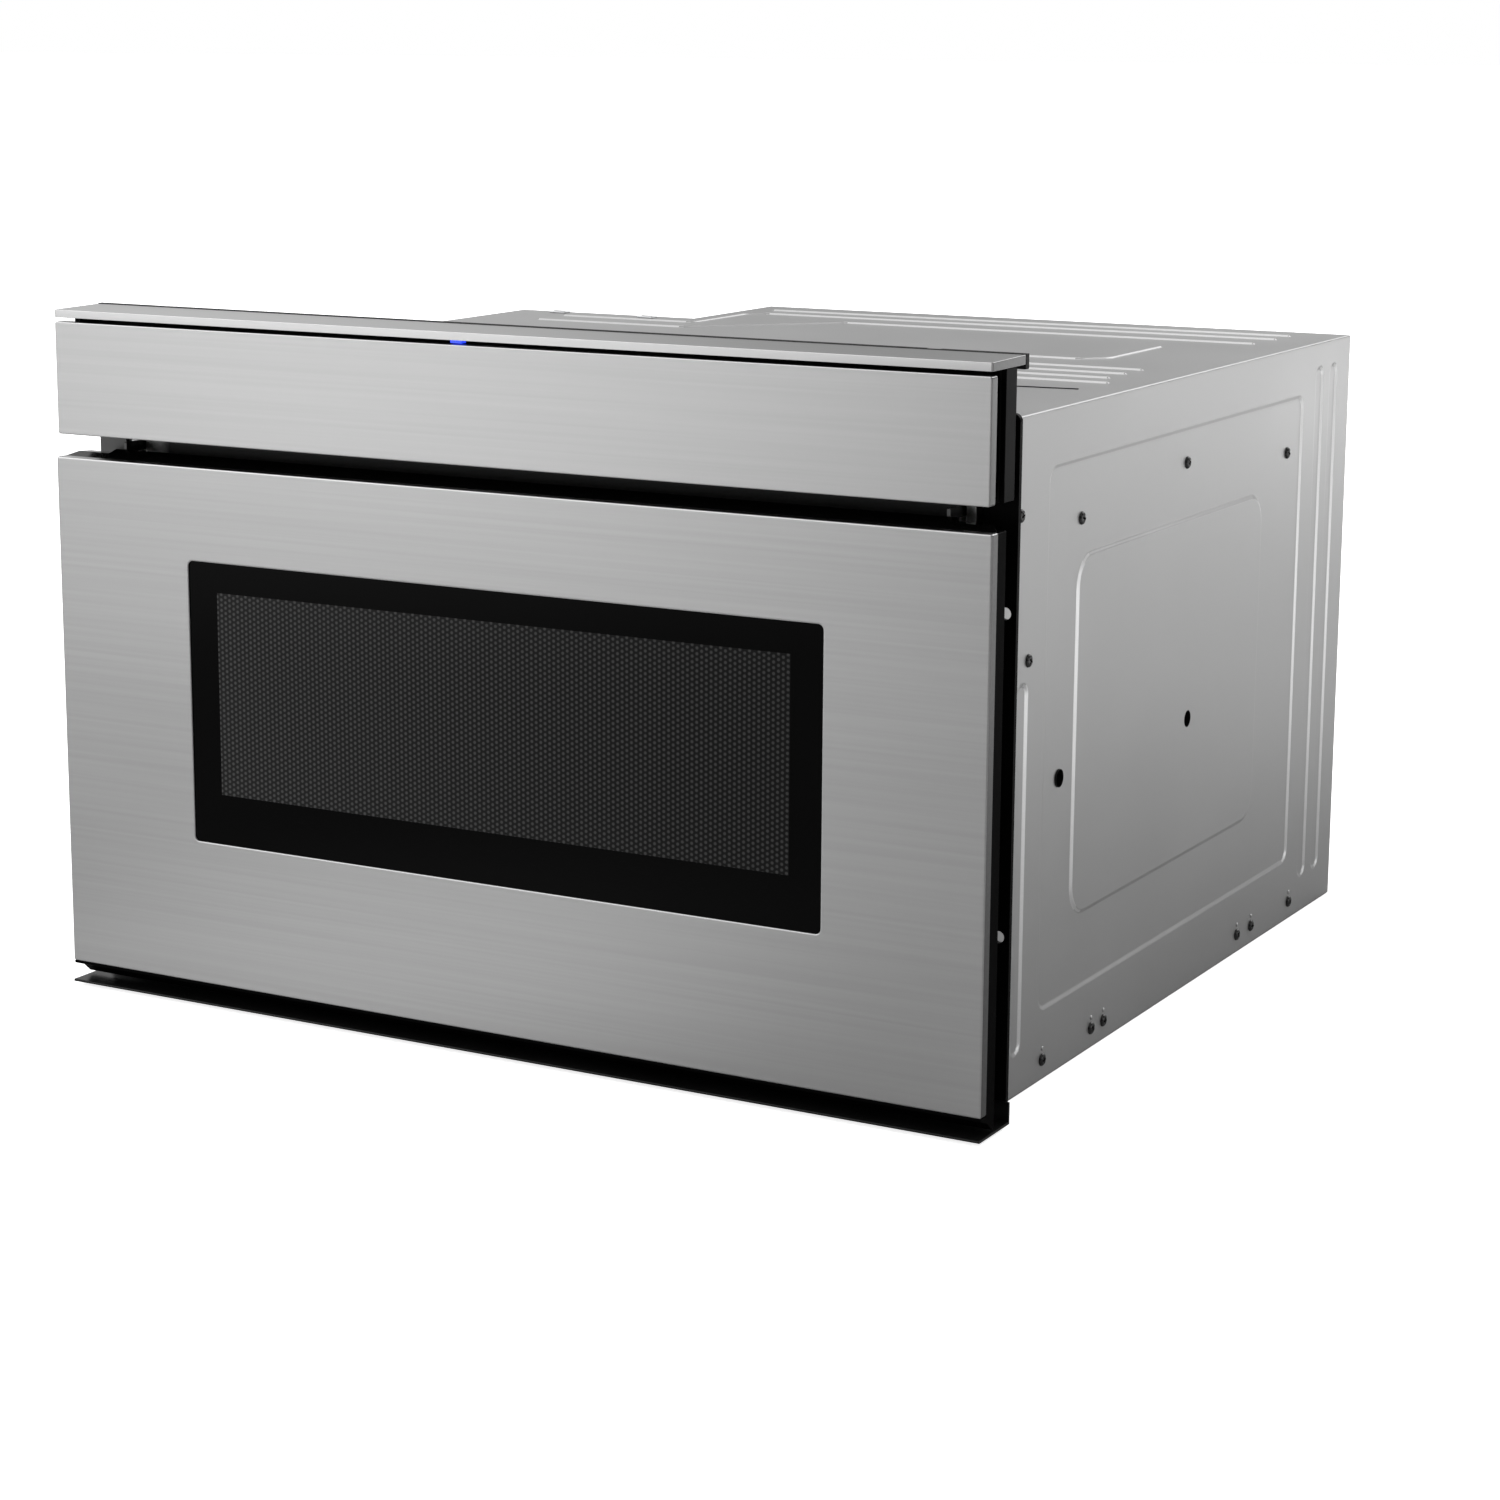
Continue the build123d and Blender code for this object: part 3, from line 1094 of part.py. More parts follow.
pan_z = (PAN_FLOOR_Z, PAN_FLOOR_Z + PAN_FLOOR)
with BuildPart() as drawer_pan:
    slab(across(PAN_HALF), (pan_front, pan_rear), (PAN_FLOOR_Z, PAN_RIM_Z))
    slab(across(PAN_HALF - PAN_WALL), (pan_front, pan_rear - PAN_WALL), (pan_z[1], PAN_RIM_Z),
         Mode.SUBTRACT)
    slab(grown(across(PAN_HALF - PAN_WALL), -TRAY_SEAT),
         grown((pan_front, pan_rear - PAN_WALL), -TRAY_SEAT), pan_z, Mode.SUBTRACT)
finish(drawer_pan, "drawer_pan")

with BuildPart() as ceramic_tray:
    slab(across(PAN_HALF - PAN_WALL - TRAY_GAP),
         (pan_front + TRAY_GAP, pan_rear - PAN_WALL - TRAY_GAP), (pan_z[1], TRAY_TOP))
finish(ceramic_tray, "ceramic_tray")

# ================================ latch switches ==================================
SWITCH_INNER_X = HOOK_X - 10.0
SWITCH_Z = (FRAME_TOP - 14.5, FRAME_TOP + 10.0)
SWITCH_DEPTH = 30.0
SWITCH_BACK = 4.0
with BuildPart() as latch_switches:
    for side in (-1, 1):
        body_x = sorted(side * x for x in (SWITCH_INNER_X, FRAME_HALF - SHEET))
        slab(body_x, (frame_back, frame_back + SWITCH_DEPTH), SWITCH_Z)
        slab(hook_slot_x(side), (frame_back, frame_back + SWITCH_DEPTH - SWITCH_BACK),
             grown(HOOK_TONGUE_Z, SLOT_GAP), Mode.SUBTRACT)
finish(latch_switches, "latch_switches")

# ================================ control housing and trim ========================
CHEEK_THICK = 1.5
CHEEK_FRONT = 17.6
CHEEK_PROUD = 0.5  # beyond the flange's end
cheek_half = FLANGE_HALF + CHEEK_PROUD
housing_back = (flange_front - BIN_WALL, flange_front)
housing_z = (PANEL_BOTTOM, TRIM_BOTTOM)
ear_x = FASCIA_HALF - BIN_END_GAP - BIN_WALL - RUNNING - PIVOT_EAR
with BuildPart() as control_housing:
    slab(across(cheek_half), housing_back, housing_z)
    for side in (-1, 1):
        slab(sorted((side * (cheek_half - CHEEK_THICK), side * cheek_half)),
             (back(CHEEK_FRONT), flange_front), housing_z)
        # ear that carries the control panel's pivot pin
        with BuildSketch(Plane.YZ.offset(side * ear_x)):
            rect((back(PIVOT_DEPTH), housing_back[1]), grown((PIVOT_Z, PIVOT_Z), EAR_HALF))
            with Locations((back(PIVOT_DEPTH), PIVOT_Z)):
                Circle(EAR_HALF)
                Circle(PIVOT_PIN_R + PIVOT_CLEARANCE, mode=Mode.SUBTRACT)
        extrude(amount=side * PIVOT_EAR)
finish(control_housing, "control_housing")

trim_y = (FACE_Y, back(TRIM_DEPTH))
trim_z = (TRIM_BOTTOM, TRIM_TOP)
TRIM_EDGE_R = 0.8
with BuildPart() as top_trim:
    slab(across(TRIM_HALF), trim_y, trim_z)
    trim_edges = top_trim.faces().sort_by(Axis.Z)[-1].edges()
    fillet(trim_edges, TRIM_EDGE_R)
    slab(across(TRIM_HALF - SHEET), grown(trim_y, -SHEET), (TRIM_BOTTOM, TRIM_TOP - SHEET),
         Mode.SUBTRACT)
finish(top_trim, "top_trim")

with BuildPart() as trim_carrier:
    slab(across(TRIM_HALF - SHEET), grown(trim_y, -SHEET), (TRIM_BOTTOM, TRIM_TOP - SHEET))
finish(trim_carrier, "trim_carrier")

with BuildPart() as trim_seal:
    slab(across(TRIM_HALF), (trim_y[1], trim_y[1] + SEAL_THICK),
         (TRIM_BOTTOM - SEAL_DROP, TRIM_TOP))
finish(trim_seal, "trim_seal")

CLIP_START = 0.5
with BuildPart() as trim_clips:
    for side in (-1, 1):
        clip_at = side * (DOOR_HALF - CLIP_INSET)
        slab(grown((clip_at, clip_at), CLIP_WIDTH / 2),
             (trim_y[1] + CLIP_START, trim_y[1] + SEAL_THICK), (TRIM_TOP, HEIGHT))
finish(trim_clips, "trim_clips")

LENS_X = (-25.0, -17.3)
LENS_Y = (back(3.0), back(7.0))
LENS_THICK = 1.8
with BuildPart() as status_lens:
    slab(LENS_X, LENS_Y, (TRIM_BOTTOM - LENS_THICK, TRIM_BOTTOM))
finish(status_lens, "status_lens")

# ================================ control panel ===================================
with BuildPart() as panel_fascia:
    slab(across(FASCIA_HALF), (FACE_Y, back(SKIN_RETURN)), (PANEL_BOTTOM, PANEL_TOP))
    fascia_edges = panel_fascia.faces().sort_by(Axis.Y)[0].edges()
    fillet(fascia_edges, SKIN_EDGE_R)
    slab(across(FASCIA_HALF - SHEET), (skin_back, back(SKIN_RETURN)),
         (PANEL_BOTTOM + SHEET, PANEL_TOP - SHEET), Mode.SUBTRACT)
finish(panel_fascia, "panel_fascia")

# The bin behind the fascia, open on top for the glass.
GLASS_FRONT_Z = PANEL_TOP - 3.4
GLASS_REAR_Z = PANEL_TOP - 10.6
GLASS_REAR_DEPTH = 33.0
TOUCH_THICK = 2.5
BIN_HEEL = (22.0, PANEL_BOTTOM + 11.7)  # the lowest rear corner: depth, height
BIN_FLOOR_Z = PANEL_BOTTOM + SHEET + 0.2
FLOOR_END = SKIN_RETURN + 2.0  # where the flat floor starts to climb
HEEL_IN = (2.5, 1.0)
REAR_RIM = 4.0
EAR_SLOT = 1.0
EAR_ROOM = (SKIN_RETURN - 4.0, BIN_HEEL[0] + 4.0)  # depths that are cut free beside an ear
EAR_ROOM_TOP = 16.0  # above the pivot
bin_half = FASCIA_HALF - BIN_END_GAP
inner_half = bin_half - BIN_WALL
glass_slope = (GLASS_FRONT_Z - GLASS_REAR_Z) / (GLASS_REAR_DEPTH - SHEET)
with BuildPart() as panel_bin:
    with BuildSketch(Plane.YZ.offset(-bin_half)):
        with BuildLine():
            Polyline(
                (skin_back, BIN_FLOOR_Z),
                (back(FLOOR_END), BIN_FLOOR_Z),
                (back(BIN_HEEL[0]), BIN_HEEL[1]),
                (back(GLASS_REAR_DEPTH), GLASS_REAR_Z - TOUCH_THICK),
                (skin_back, GLASS_FRONT_Z - TOUCH_THICK),
                close=True,
            )
        make_face()
    extrude(amount=2 * bin_half)
    with BuildSketch(Plane.YZ.offset(-inner_half)):
        with BuildLine():
            Polyline(
                (skin_back + BIN_WALL, BIN_FLOOR_Z + BIN_WALL),
                (back(SKIN_RETURN), BIN_FLOOR_Z + BIN_WALL),
                (back(BIN_HEEL[0] - HEEL_IN[0]), BIN_HEEL[1] + HEEL_IN[1]),
                (back(GLASS_REAR_DEPTH - REAR_RIM), GLASS_REAR_Z),
                (skin_back + BIN_WALL, GLASS_FRONT_Z + BIN_WALL),
                close=True,
            )
        make_face()
    extrude(amount=2 * inner_half, mode=Mode.SUBTRACT)
    # room for the housing's ears, then the pivot pins
    for side in (-1, 1):
        slab(sorted((side * (ear_x - EAR_SLOT), side * inner_half)),
             (back(EAR_ROOM[0]), back(EAR_ROOM[1])), (BIN_FLOOR_Z - SHEET, PIVOT_Z + EAR_ROOM_TOP),
             Mode.SUBTRACT)
        with BuildSketch(Plane.YZ.offset(side * inner_half)):
            with Locations((back(PIVOT_DEPTH), PIVOT_Z)):
                Circle(PIVOT_PIN_R)
        extrude(amount=-side * (PIVOT_EAR + 2 * RUNNING))
finish(panel_bin, "panel_bin")

with BuildPart() as touch_glass:
    with BuildSketch(Plane.YZ.offset(-bin_half)):
        with BuildLine():
            Polyline(
                (skin_back, GLASS_FRONT_Z - TOUCH_THICK),
                (back(GLASS_REAR_DEPTH), GLASS_REAR_Z - TOUCH_THICK),
                (back(GLASS_REAR_DEPTH), GLASS_REAR_Z),
                (skin_back, GLASS_FRONT_Z),
                close=True,
            )
        make_face()
    extrude(amount=2 * bin_half)
finish(touch_glass, "touch_glass")

# The display board lies against the glass's underside, between the bin's walls.
BOARD_HALF = 210.0
BOARD_DROP = 3.0
board_depths = (SHEET + 2 * BIN_WALL, GLASS_REAR_DEPTH - 7.0)
board_tops = [GLASS_FRONT_Z - TOUCH_THICK - glass_slope * (depth - SHEET) for depth in board_depths]
with BuildPart() as display_board:
    with BuildSketch(Plane.YZ.offset(-BOARD_HALF)):
        with BuildLine():
            Polyline(
                (back(board_depths[0]), board_tops[0]),
                (back(board_depths[1]), board_tops[1]),
                (back(board_depths[1]), board_tops[1] - BOARD_DROP),
                (back(board_depths[0]), board_tops[0] - BOARD_DROP),
                close=True,
            )
        make_face()
    extrude(amount=2 * BOARD_HALF)
finish(display_board, "display_board")

print("pinion ratio, radians per metre:", round(1000 / PINION_R, 4))
print("pinion centre:", RACK_X, round(pinion_y, 3), pinion_z)
print("pivot:", round(back(PIVOT_DEPTH), 3), PIVOT_Z)
print("pan inside:", round(pan_front, 2), round(pan_rear - PAN_WALL, 2), TRAY_TOP, CAVITY_CEILING)
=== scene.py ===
import bpy
from math import atan2, cos, hypot, pi, radians, sin
from mathutils import Euler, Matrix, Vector
from mathutils.geometry import delaunay_2d_cdt


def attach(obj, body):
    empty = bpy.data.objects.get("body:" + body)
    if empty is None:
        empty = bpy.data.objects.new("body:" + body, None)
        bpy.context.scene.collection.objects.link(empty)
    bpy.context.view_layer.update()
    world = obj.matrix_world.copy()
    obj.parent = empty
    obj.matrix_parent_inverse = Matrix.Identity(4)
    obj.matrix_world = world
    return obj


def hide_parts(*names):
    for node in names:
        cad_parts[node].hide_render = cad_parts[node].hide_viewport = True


# A microwave drawer, dressed for its portrait. Lengths are millimetres until a piece is made.

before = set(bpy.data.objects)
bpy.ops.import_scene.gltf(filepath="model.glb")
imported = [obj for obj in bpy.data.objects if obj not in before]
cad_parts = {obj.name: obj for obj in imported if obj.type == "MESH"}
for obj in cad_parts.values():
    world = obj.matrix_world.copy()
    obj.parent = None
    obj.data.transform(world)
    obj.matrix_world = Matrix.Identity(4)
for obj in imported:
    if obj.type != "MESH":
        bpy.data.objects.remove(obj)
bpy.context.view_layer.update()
scene = bpy.context.scene
face = -294.3  # Y of the drawer's front


def behind(depth):
    return face + depth


# the camera stands where the photographer did
lens = {"place": (1.0006, -1.8378, 0.5792), "turn": (78.416, 0.0, 30.264),
        "focal": 82.17, "shift": (0.0687, -0.0301)}
cameraData = bpy.data.cameras.new("camera")
cameraData.lens, cameraData.sensor_width = lens["focal"], 36
cameraData.shift_x, cameraData.shift_y = lens["shift"]
cameraData.clip_end = 60
camera = bpy.data.objects.new("camera", cameraData)
camera.location = lens["place"]
camera.rotation_euler = Euler([radians(angle) for angle in lens["turn"]])
scene.collection.objects.link(camera)
scene.camera = camera
print("camera stands")


class Wire:  # a socket, so that sums on masks read as plain Python
    def __init__(self, paint, socket):
        self.paint = paint
        self.socket = socket

    def __add__(self, other):
        return self.paint.sum("ADD", self, other)

    def __radd__(self, other):
        return self.paint.sum("ADD", other, self)

    def __sub__(self, other):
        return self.paint.sum("SUBTRACT", self, other)

    def __rsub__(self, other):
        return self.paint.sum("SUBTRACT", other, self)

    def __mul__(self, other):
        return self.paint.sum("MULTIPLY", self, other)

    def __rmul__(self, other):
        return self.paint.sum("MULTIPLY", other, self)

    def __truediv__(self, other):
        return self.paint.sum("DIVIDE", self, other)

    def __rtruediv__(self, other):
        return self.paint.sum("DIVIDE", other, self)

    def __lt__(self, other):
        return self.paint.sum("LESS_THAN", self, other)

    def __gt__(self, other):
        return self.paint.sum("GREATER_THAN", self, other)

    def __abs__(self):
        return self.paint.sum("ABSOLUTE", self)


class Paint:
    def __init__(self, name, kinds=bpy.data.materials, **fixed):
        self.owner = kinds.new(name)
        self.owner.use_nodes = True
        self.tree = self.owner.node_tree
        self.tree.nodes.clear()
        if kinds == bpy.data.worlds:
            return
        self.shader = self.node("ShaderNodeBsdfPrincipled", sockets=fixed)
        self.node("ShaderNodeOutputMaterial", sockets={"Surface": self.shader}, out=None)

    def node(self, kind, settings=None, sockets=None, out=0):
        made = self.tree.nodes.new(kind)
        for key, value in (settings or {}).items():
            if key == "stops":
                ramp = made.color_ramp.elements
                while len(ramp) < len(value):
                    ramp.new(0.5)
                for element, (place, shade) in zip(ramp, value):
                    element.position = place
                    element.color = (shade, shade, shade, 1)
            else:
                setattr(made, key, value)
        for key, value in (sockets or {}).items():
            if isinstance(value, Wire):
                self.tree.links.new(value.socket, made.inputs[key])
            else:
                made.inputs[key].default_value = value
        return made if out is None else Wire(self, made.outputs[out])

    def sum(self, operation, *values):
        return self.node("ShaderNodeMath", {"operation": operation}, dict(enumerate(values)))

    def feed(self, **wires):
        for key, wire in wires.items():
            name = {"colour": "Base Color", "roughness": "Roughness", "metallic": "Metallic",
                    "coat": "Coat Weight", "alpha": "Alpha", "glow": "Emission Color",
                    "normal": "Normal"}[key]
            self.tree.links.new(wire.socket, self.shader.socket.node.inputs[name])

    def blend(self, share, first, second):
        return self.node("ShaderNodeMix", {"data_type": "RGBA"}, {0: share, 6: first, 7: second}, 2)

    def bright(self, amount):  # a grey that may be lighter than white
        return self.node("ShaderNodeMix", {"data_type": "RGBA", "clamp_factor": False},
                         {0: amount, 6: grey(0), 7: grey(1)}, 2)

    def spot(self, x=1.0, y=1.0, z=1.0):  # the piece's own metres, stretched
        where = self.node("ShaderNodeTexCoord", out="Object")
        return self.node("ShaderNodeVectorMath", {"operation": "MULTIPLY"},
                         {0: where, 1: (x, y, z)})

    def axes(self):
        where = self.node("ShaderNodeTexCoord", out="Object")
        split = self.node("ShaderNodeSeparateXYZ", sockets={0: where}, out=None)
        return [Wire(self, split.outputs[n]) for n in range(3)]

    def noise(self, where, scale=1.0, detail=3.0, rough=0.5):
        return self.node("ShaderNodeTexNoise", {}, {"Vector": where, "Scale": scale,
                                                    "Detail": detail, "Roughness": rough})

    def spread(self, wire, low, high, start=0.3, end=0.7):  # a number's range, made over
        return self.node("ShaderNodeMapRange", {"clamp": True},
                         {"Value": wire, 1: start, 2: end, 3: low, 4: high})

    def fade(self, wire, low, high, start, end):
        return self.node("ShaderNodeMapRange", {"interpolation_type": "SMOOTHSTEP"},
                         {"Value": wire, 1: start, 2: end, 3: low, 4: high})

    def relief(self, height, distance, strength=1.0):
        self.feed(normal=self.node("ShaderNodeBump", {}, {"Strength": strength,
                                                          "Distance": distance, "Height": height}))


def grey(value, warm=0.0):
    return (value * (1 + warm), value, value * (1 - warm), 1)


def brushed(name, look):
    # long fine streaks along X, with slow wandering in between
    paint = Paint(name, Metallic=1.0, Anisotropic=look["stretch"],
                  **{"Anisotropic Rotation": 0.25})
    streak = 0.0
    for share, along, across in look["streaks"]:
        streak = streak + share * paint.noise(paint.spot(along, across, across), 1.0, 0.0)
    dark, light = look["colour"]
    cloud = paint.noise(paint.spot(2.0, 7.0, 7.0), 1.0, 1.0)
    paint.feed(colour=paint.blend(paint.spread(streak, 0, 1), grey(dark), grey(light)),
               roughness=paint.spread(cloud, *look["roughness"]))
    return paint.owner


def coated(name, look):
    # paint, enamel, plastic, plate or casting: mottled colour, uneven gloss, a fine skin
    fixed = {"Metallic": look.get("metallic", 0.0), "Coat Weight": look.get("coat", 0.0),
             "Coat Roughness": 0.1, "Specular IOR Level": look.get("specular", 0.5)}
    paint = Paint(name, **fixed, **look.get("lit", {}))
    cloud = paint.noise(paint.spot(), look.get("cloud", 25.0), 3.0)
    grain = paint.noise(paint.spot(), look.get("grain", 1500.0), 2.0)
    paint.feed(colour=paint.blend(paint.spread(cloud * 0.6 + grain * 0.4, 0, 1), look["dark"],
                                  look["light"]),
               roughness=paint.spread(cloud * 0.5 + grain * 0.5, *look["roughness"]))
    paint.relief(grain, look.get("skin", 0.00002), look.get("strength", 0.4))
    return paint.owner


steelStreaks = [(0.45, 6.0, 620.0), (0.35, 3.0, 330.0), (0.2, 1.2, 1000.0)]  # share, along, across
# one brushed steel in lit and shaded copies: the door's tone is darker and the trim's lighter than
# the panel's, painted shade and painted light for how each part is lit
shadedDrawerSteel = brushed("shadedDrawerSteel", {
    "colour": (0.36, 0.387), "roughness": (0.28, 0.32), "stretch": 0.6, "streaks": steelStreaks})
panelSteel = brushed("panelSteel", {
    "colour": (0.385, 0.41), "roughness": (0.28, 0.32), "stretch": 0.6, "streaks": steelStreaks})
# the trim's top faces: the same steel darker than the trim's front, painted shade on the top
shadedLidSteel = brushed("shadedLidSteel", {
    "colour": (0.378, 0.402), "roughness": (0.28, 0.32), "stretch": 0.0, "streaks": steelStreaks})
litTrimSteel = brushed("litTrimSteel", {
    "colour": (0.475, 0.5), "roughness": (0.28, 0.32), "stretch": 0.6, "streaks": steelStreaks})
# the skins' folded-back ends: the same steel about a third as bright, painted shade on the returns
shadedFoldSteel = brushed("shadedFoldSteel", {
    "colour": (0.11, 0.13), "roughness": (0.3, 0.36), "stretch": 0.0, "streaks": steelStreaks})
caseSheet = coated("caseSheet", {
    "dark": grey(0.38), "light": grey(0.42), "roughness": (0.34, 0.42), "metallic": 0.85,
    "cloud": 9.0, "grain": 900.0, "skin": 0.00001, "strength": 0.25})
litSlopeSheet, frontLitSlopeSheet, ribHighlightSheet = [coated(name, {  # lighter copies of the same sheet: painted highlights on the pressed slopes and the top's ribs
    "dark": grey(shade), "light": grey(shade + 0.06), "roughness": (0.32, 0.4), "metallic": 0.85,
    "cloud": 9.0, "grain": 900.0, "skin": 0.00001, "strength": 0.25})
    for name, shade in (("litSlopeSheet", 0.46), ("frontLitSlopeSheet", 0.6), ("ribHighlightSheet", 0.86))]
blackCoat = coated("blackCoat", {
    "dark": grey(0.004), "light": grey(0.008), "roughness": (0.26, 0.36), "specular": 0.15,
    "grain": 1800.0, "skin": 0.00002})
blackPlastic = coated("blackPlastic", {
    "dark": grey(0.0015), "light": grey(0.003), "roughness": (0.4, 0.52), "specular": 0.08,
    "grain": 2400.0, "skin": 0.00002})
cheekGrey = coated("cheekGrey", {
    "dark": grey(0.0015), "light": grey(0.002), "roughness": (0.36, 0.46), "specular": 0.03,
    "grain": 2000.0})
greyPlastic = coated("greyPlastic", {
    "dark": grey(0.03), "light": grey(0.045), "roughness": (0.4, 0.52), "grain": 2400.0})
whitePlastic = coated("whitePlastic", {
    "dark": grey(0.66, 0.01), "light": grey(0.74, 0.01), "roughness": (0.4, 0.5), "grain": 1600.0})
rubberSeal = coated("rubberSeal", {
    "dark": grey(0.012), "light": grey(0.02), "roughness": (0.75, 0.9), "grain": 700.0,
    "skin": 0.00015, "strength": 0.6})
cavityEnamel = coated("cavityEnamel", {
    "dark": grey(0.36), "light": grey(0.42), "roughness": (0.28, 0.36), "coat": 0.4,
    "grain": 1100.0, "skin": 0.00003})
zincSheet = coated("zincSheet", {
    "dark": grey(0.46, -0.01), "light": grey(0.62, -0.01), "roughness": (0.3, 0.46),
    "metallic": 0.95, "cloud": 60.0, "grain": 1200.0})
aluminium = coated("aluminium", {
    "dark": grey(0.66), "light": grey(0.75), "roughness": (0.26, 0.38), "metallic": 1.0})
motorSteel = coated("motorSteel", {
    "dark": grey(0.3), "light": grey(0.42), "roughness": (0.3, 0.45), "metallic": 0.9})
screwSteel = coated("screwSteel", {
    "dark": grey(0.035), "light": grey(0.06), "roughness": (0.2, 0.3), "metallic": 1.0})
# latch hooks: steel darkened to the shade of the gap behind the door, painted shade
shadedHookSteel = coated("shadedHookSteel", {
    "dark": grey(0.06), "light": grey(0.09), "roughness": (0.3, 0.4), "metallic": 1.0})
ballSteel = coated("ballSteel", {
    "dark": grey(0.6), "light": grey(0.7), "roughness": (0.08, 0.14), "metallic": 1.0})
gearPlastic = coated("gearPlastic", {
    "dark": (0.74, 0.72, 0.65, 1), "light": (0.8, 0.78, 0.72, 1), "roughness": (0.4, 0.5)})
micaSheet = coated("micaSheet", {
    "dark": (0.44, 0.39, 0.29, 1), "light": (0.6, 0.55, 0.44, 1), "roughness": (0.4, 0.6),
    "cloud": 90.0, "grain": 600.0, "skin": 0.00008})
copperCore = coated("copperCore", {
    "dark": (0.16, 0.08, 0.04, 1), "light": (0.42, 0.22, 0.1, 1), "roughness": (0.35, 0.5),
    "metallic": 0.5, "cloud": 120.0})
circuitBoard = coated("circuitBoard", {
    "dark": (0.02, 0.12, 0.05, 1), "light": (0.05, 0.24, 0.1, 1), "roughness": (0.35, 0.5),
    "cloud": 220.0, "grain": 900.0})
blackCeramic = coated("blackCeramic", {
    "dark": grey(0.012), "light": grey(0.02), "roughness": (0.08, 0.16), "coat": 0.6,
    "grain": 500.0, "skin": 0.00003})
blueLens = coated("blueLens", {
    "dark": (0.01, 0.04, 0.7, 1), "light": (0.02, 0.08, 0.95, 1), "roughness": (0.15, 0.25),
    "lit": {"Emission Strength": 1.2, "Emission Color": (0.02, 0.06, 1, 1)}})


def polishedBlack(name, look):
    # black, dull but for one stretch along an axis that is polished and coated; that stretch takes
    # its own colour, which on the flange is a lighter painted reflection
    paint = Paint(name, **{"Specular IOR Level": look["specular"],
                           "Coat Roughness": look["polish"]})
    axis, start, end = look["shine"]
    polishAndSheen = paint.spread(paint.axes()[axis], 0, 1, start, end)
    grain = paint.noise(paint.spot(), look["grain"], 2.0)
    dull = paint.blend(paint.spread(grain, 0, 1), grey(look["dark"]), grey(look["light"]))
    paint.feed(colour=paint.blend(polishAndSheen, dull, grey(look["paintedSheen"])),
               roughness=paint.spread(grain, *look["roughness"]), coat=polishAndSheen)
    paint.relief(grain, 0.00002, 0.3)
    return paint.owner


doorBlack = polishedBlack("doorBlack", {
    "dark": 0.001, "light": 0.002, "roughness": (0.42, 0.55), "grain": 2200.0,
    "specular": 0.01, "polish": 0.16, "shine": (2, 0.3193, 0.3199), "paintedSheen": 0.002})
# the flange's left end is painted grey 0.05 against its black: a painted reflection, beside a real
# coat
flangeBlack = polishedBlack("flangeBlack", {
    "dark": 0.0015, "light": 0.003, "roughness": (0.3, 0.4), "grain": 1800.0,
    "specular": 0.02, "polish": 0.2, "shine": (0, -0.262, -0.274), "paintedSheen": 0.05})


def masked(name, look):
    # two shades of one sheet, parted along X: bare holds where the spans say
    paint = Paint(name, **{"Specular IOR Level": look["specular"]})
    x = paint.axes()[0]
    inside = 0.0
    for start, end, soft in look["spans"]:
        inside = inside + (x > start) * paint.spread(x, 1, 0, end - soft, end)
    cloud = paint.noise(paint.spot(), look["grain"], 2.0)
    first, second = [paint.blend(paint.spread(cloud, 0, 1), grey(low), grey(high))
                     for low, high in look["shades"]]
    paint.feed(colour=paint.blend(inside, first, second),
               metallic=inside * look["metallic"],
               roughness=paint.spread(cloud, *look["roughness"]))
    paint.relief(cloud, 0.00001, 0.2)
    return paint.owner


# black plate with bare steel at its ends, a two-tone finish; the left bare stretch reaches further
# in and fades out over 14 mm, a painted reflection
facePlate = masked("facePlate", {
    "shades": [(0.003, 0.005), (0.45, 0.55)],
    "spans": [(-0.3, -0.245, 0.014), (0.2675, 0.3, 0.001)],
    "metallic": 1.0, "roughness": (0.3, 0.42), "specular": 0.2, "grain": 600.0})


def windowGlass(look):
    # black glass, its middle printed with columns of lighter dots, every second one half a step up
    paint = Paint("windowGlass", **{"Specular IOR Level": look["gloss"]})
    x, y, z = paint.axes()
    column = x / look["column"] + look["first"][0]
    whole = paint.sum("FLOOR", column)
    shift = paint.sum("MODULO", whole, 2.0) * 0.5
    across = (column - whole - 0.5) * look["column"]
    up = (paint.sum("FRACT", z / look["step"] + look["first"][1] + shift) - 0.5) * look["step"]
    gap = paint.sum("SQRT", across * across + up * up)
    dot = paint.spread(gap, 1, 0, look["dot"] - look["soft"], look["dot"] + look["soft"])
    inside = ((abs(x) < look["half"]) * (z > look["bottom"])) * (z < look["top"])
    smear = paint.noise(paint.spot(), 14.0, 3.0)
    # dots and field grow lighter towards the left: a painted reflection across the glass
    wearAndSheen = paint.spread(x, 1, 0, -0.2, 0.2)
    ink = paint.blend(wearAndSheen, grey(look["print"][0]), grey(look["print"][1]))
    plain = paint.blend(wearAndSheen, grey(look["field"][0]), grey(look["field"][1]))
    field = paint.blend(dot, plain, ink)
    paint.feed(colour=paint.blend(inside, grey(look["edge"]), field),
               roughness=paint.spread(smear, 0.05, 0.09))
    paint.relief(smear, 0.00002, 0.1)
    return paint.owner


dottedGlass = windowGlass({
    "column": 0.002865, "step": 0.00308, "first": (400.18, 40), "dot": 0.00088, "soft": 0.0003,
    "half": 0.1855, "bottom": 0.130, "top": 0.2485, "print": (0.046, 0.07),
    "field": (0.009, 0.02), "edge": 0.0012, "gloss": 0.05})
touchGlass = coated("touchGlass", {
    "dark": grey(0.003), "light": grey(0.005), "roughness": (0.05, 0.1), "specular": 0.3,
    "grain": 300.0, "skin": 0.00001})
clearPane = coated("clearPane", {
    "dark": grey(0.02), "light": grey(0.03), "roughness": (0.04, 0.08), "grain": 300.0,
    "skin": 0.00001})

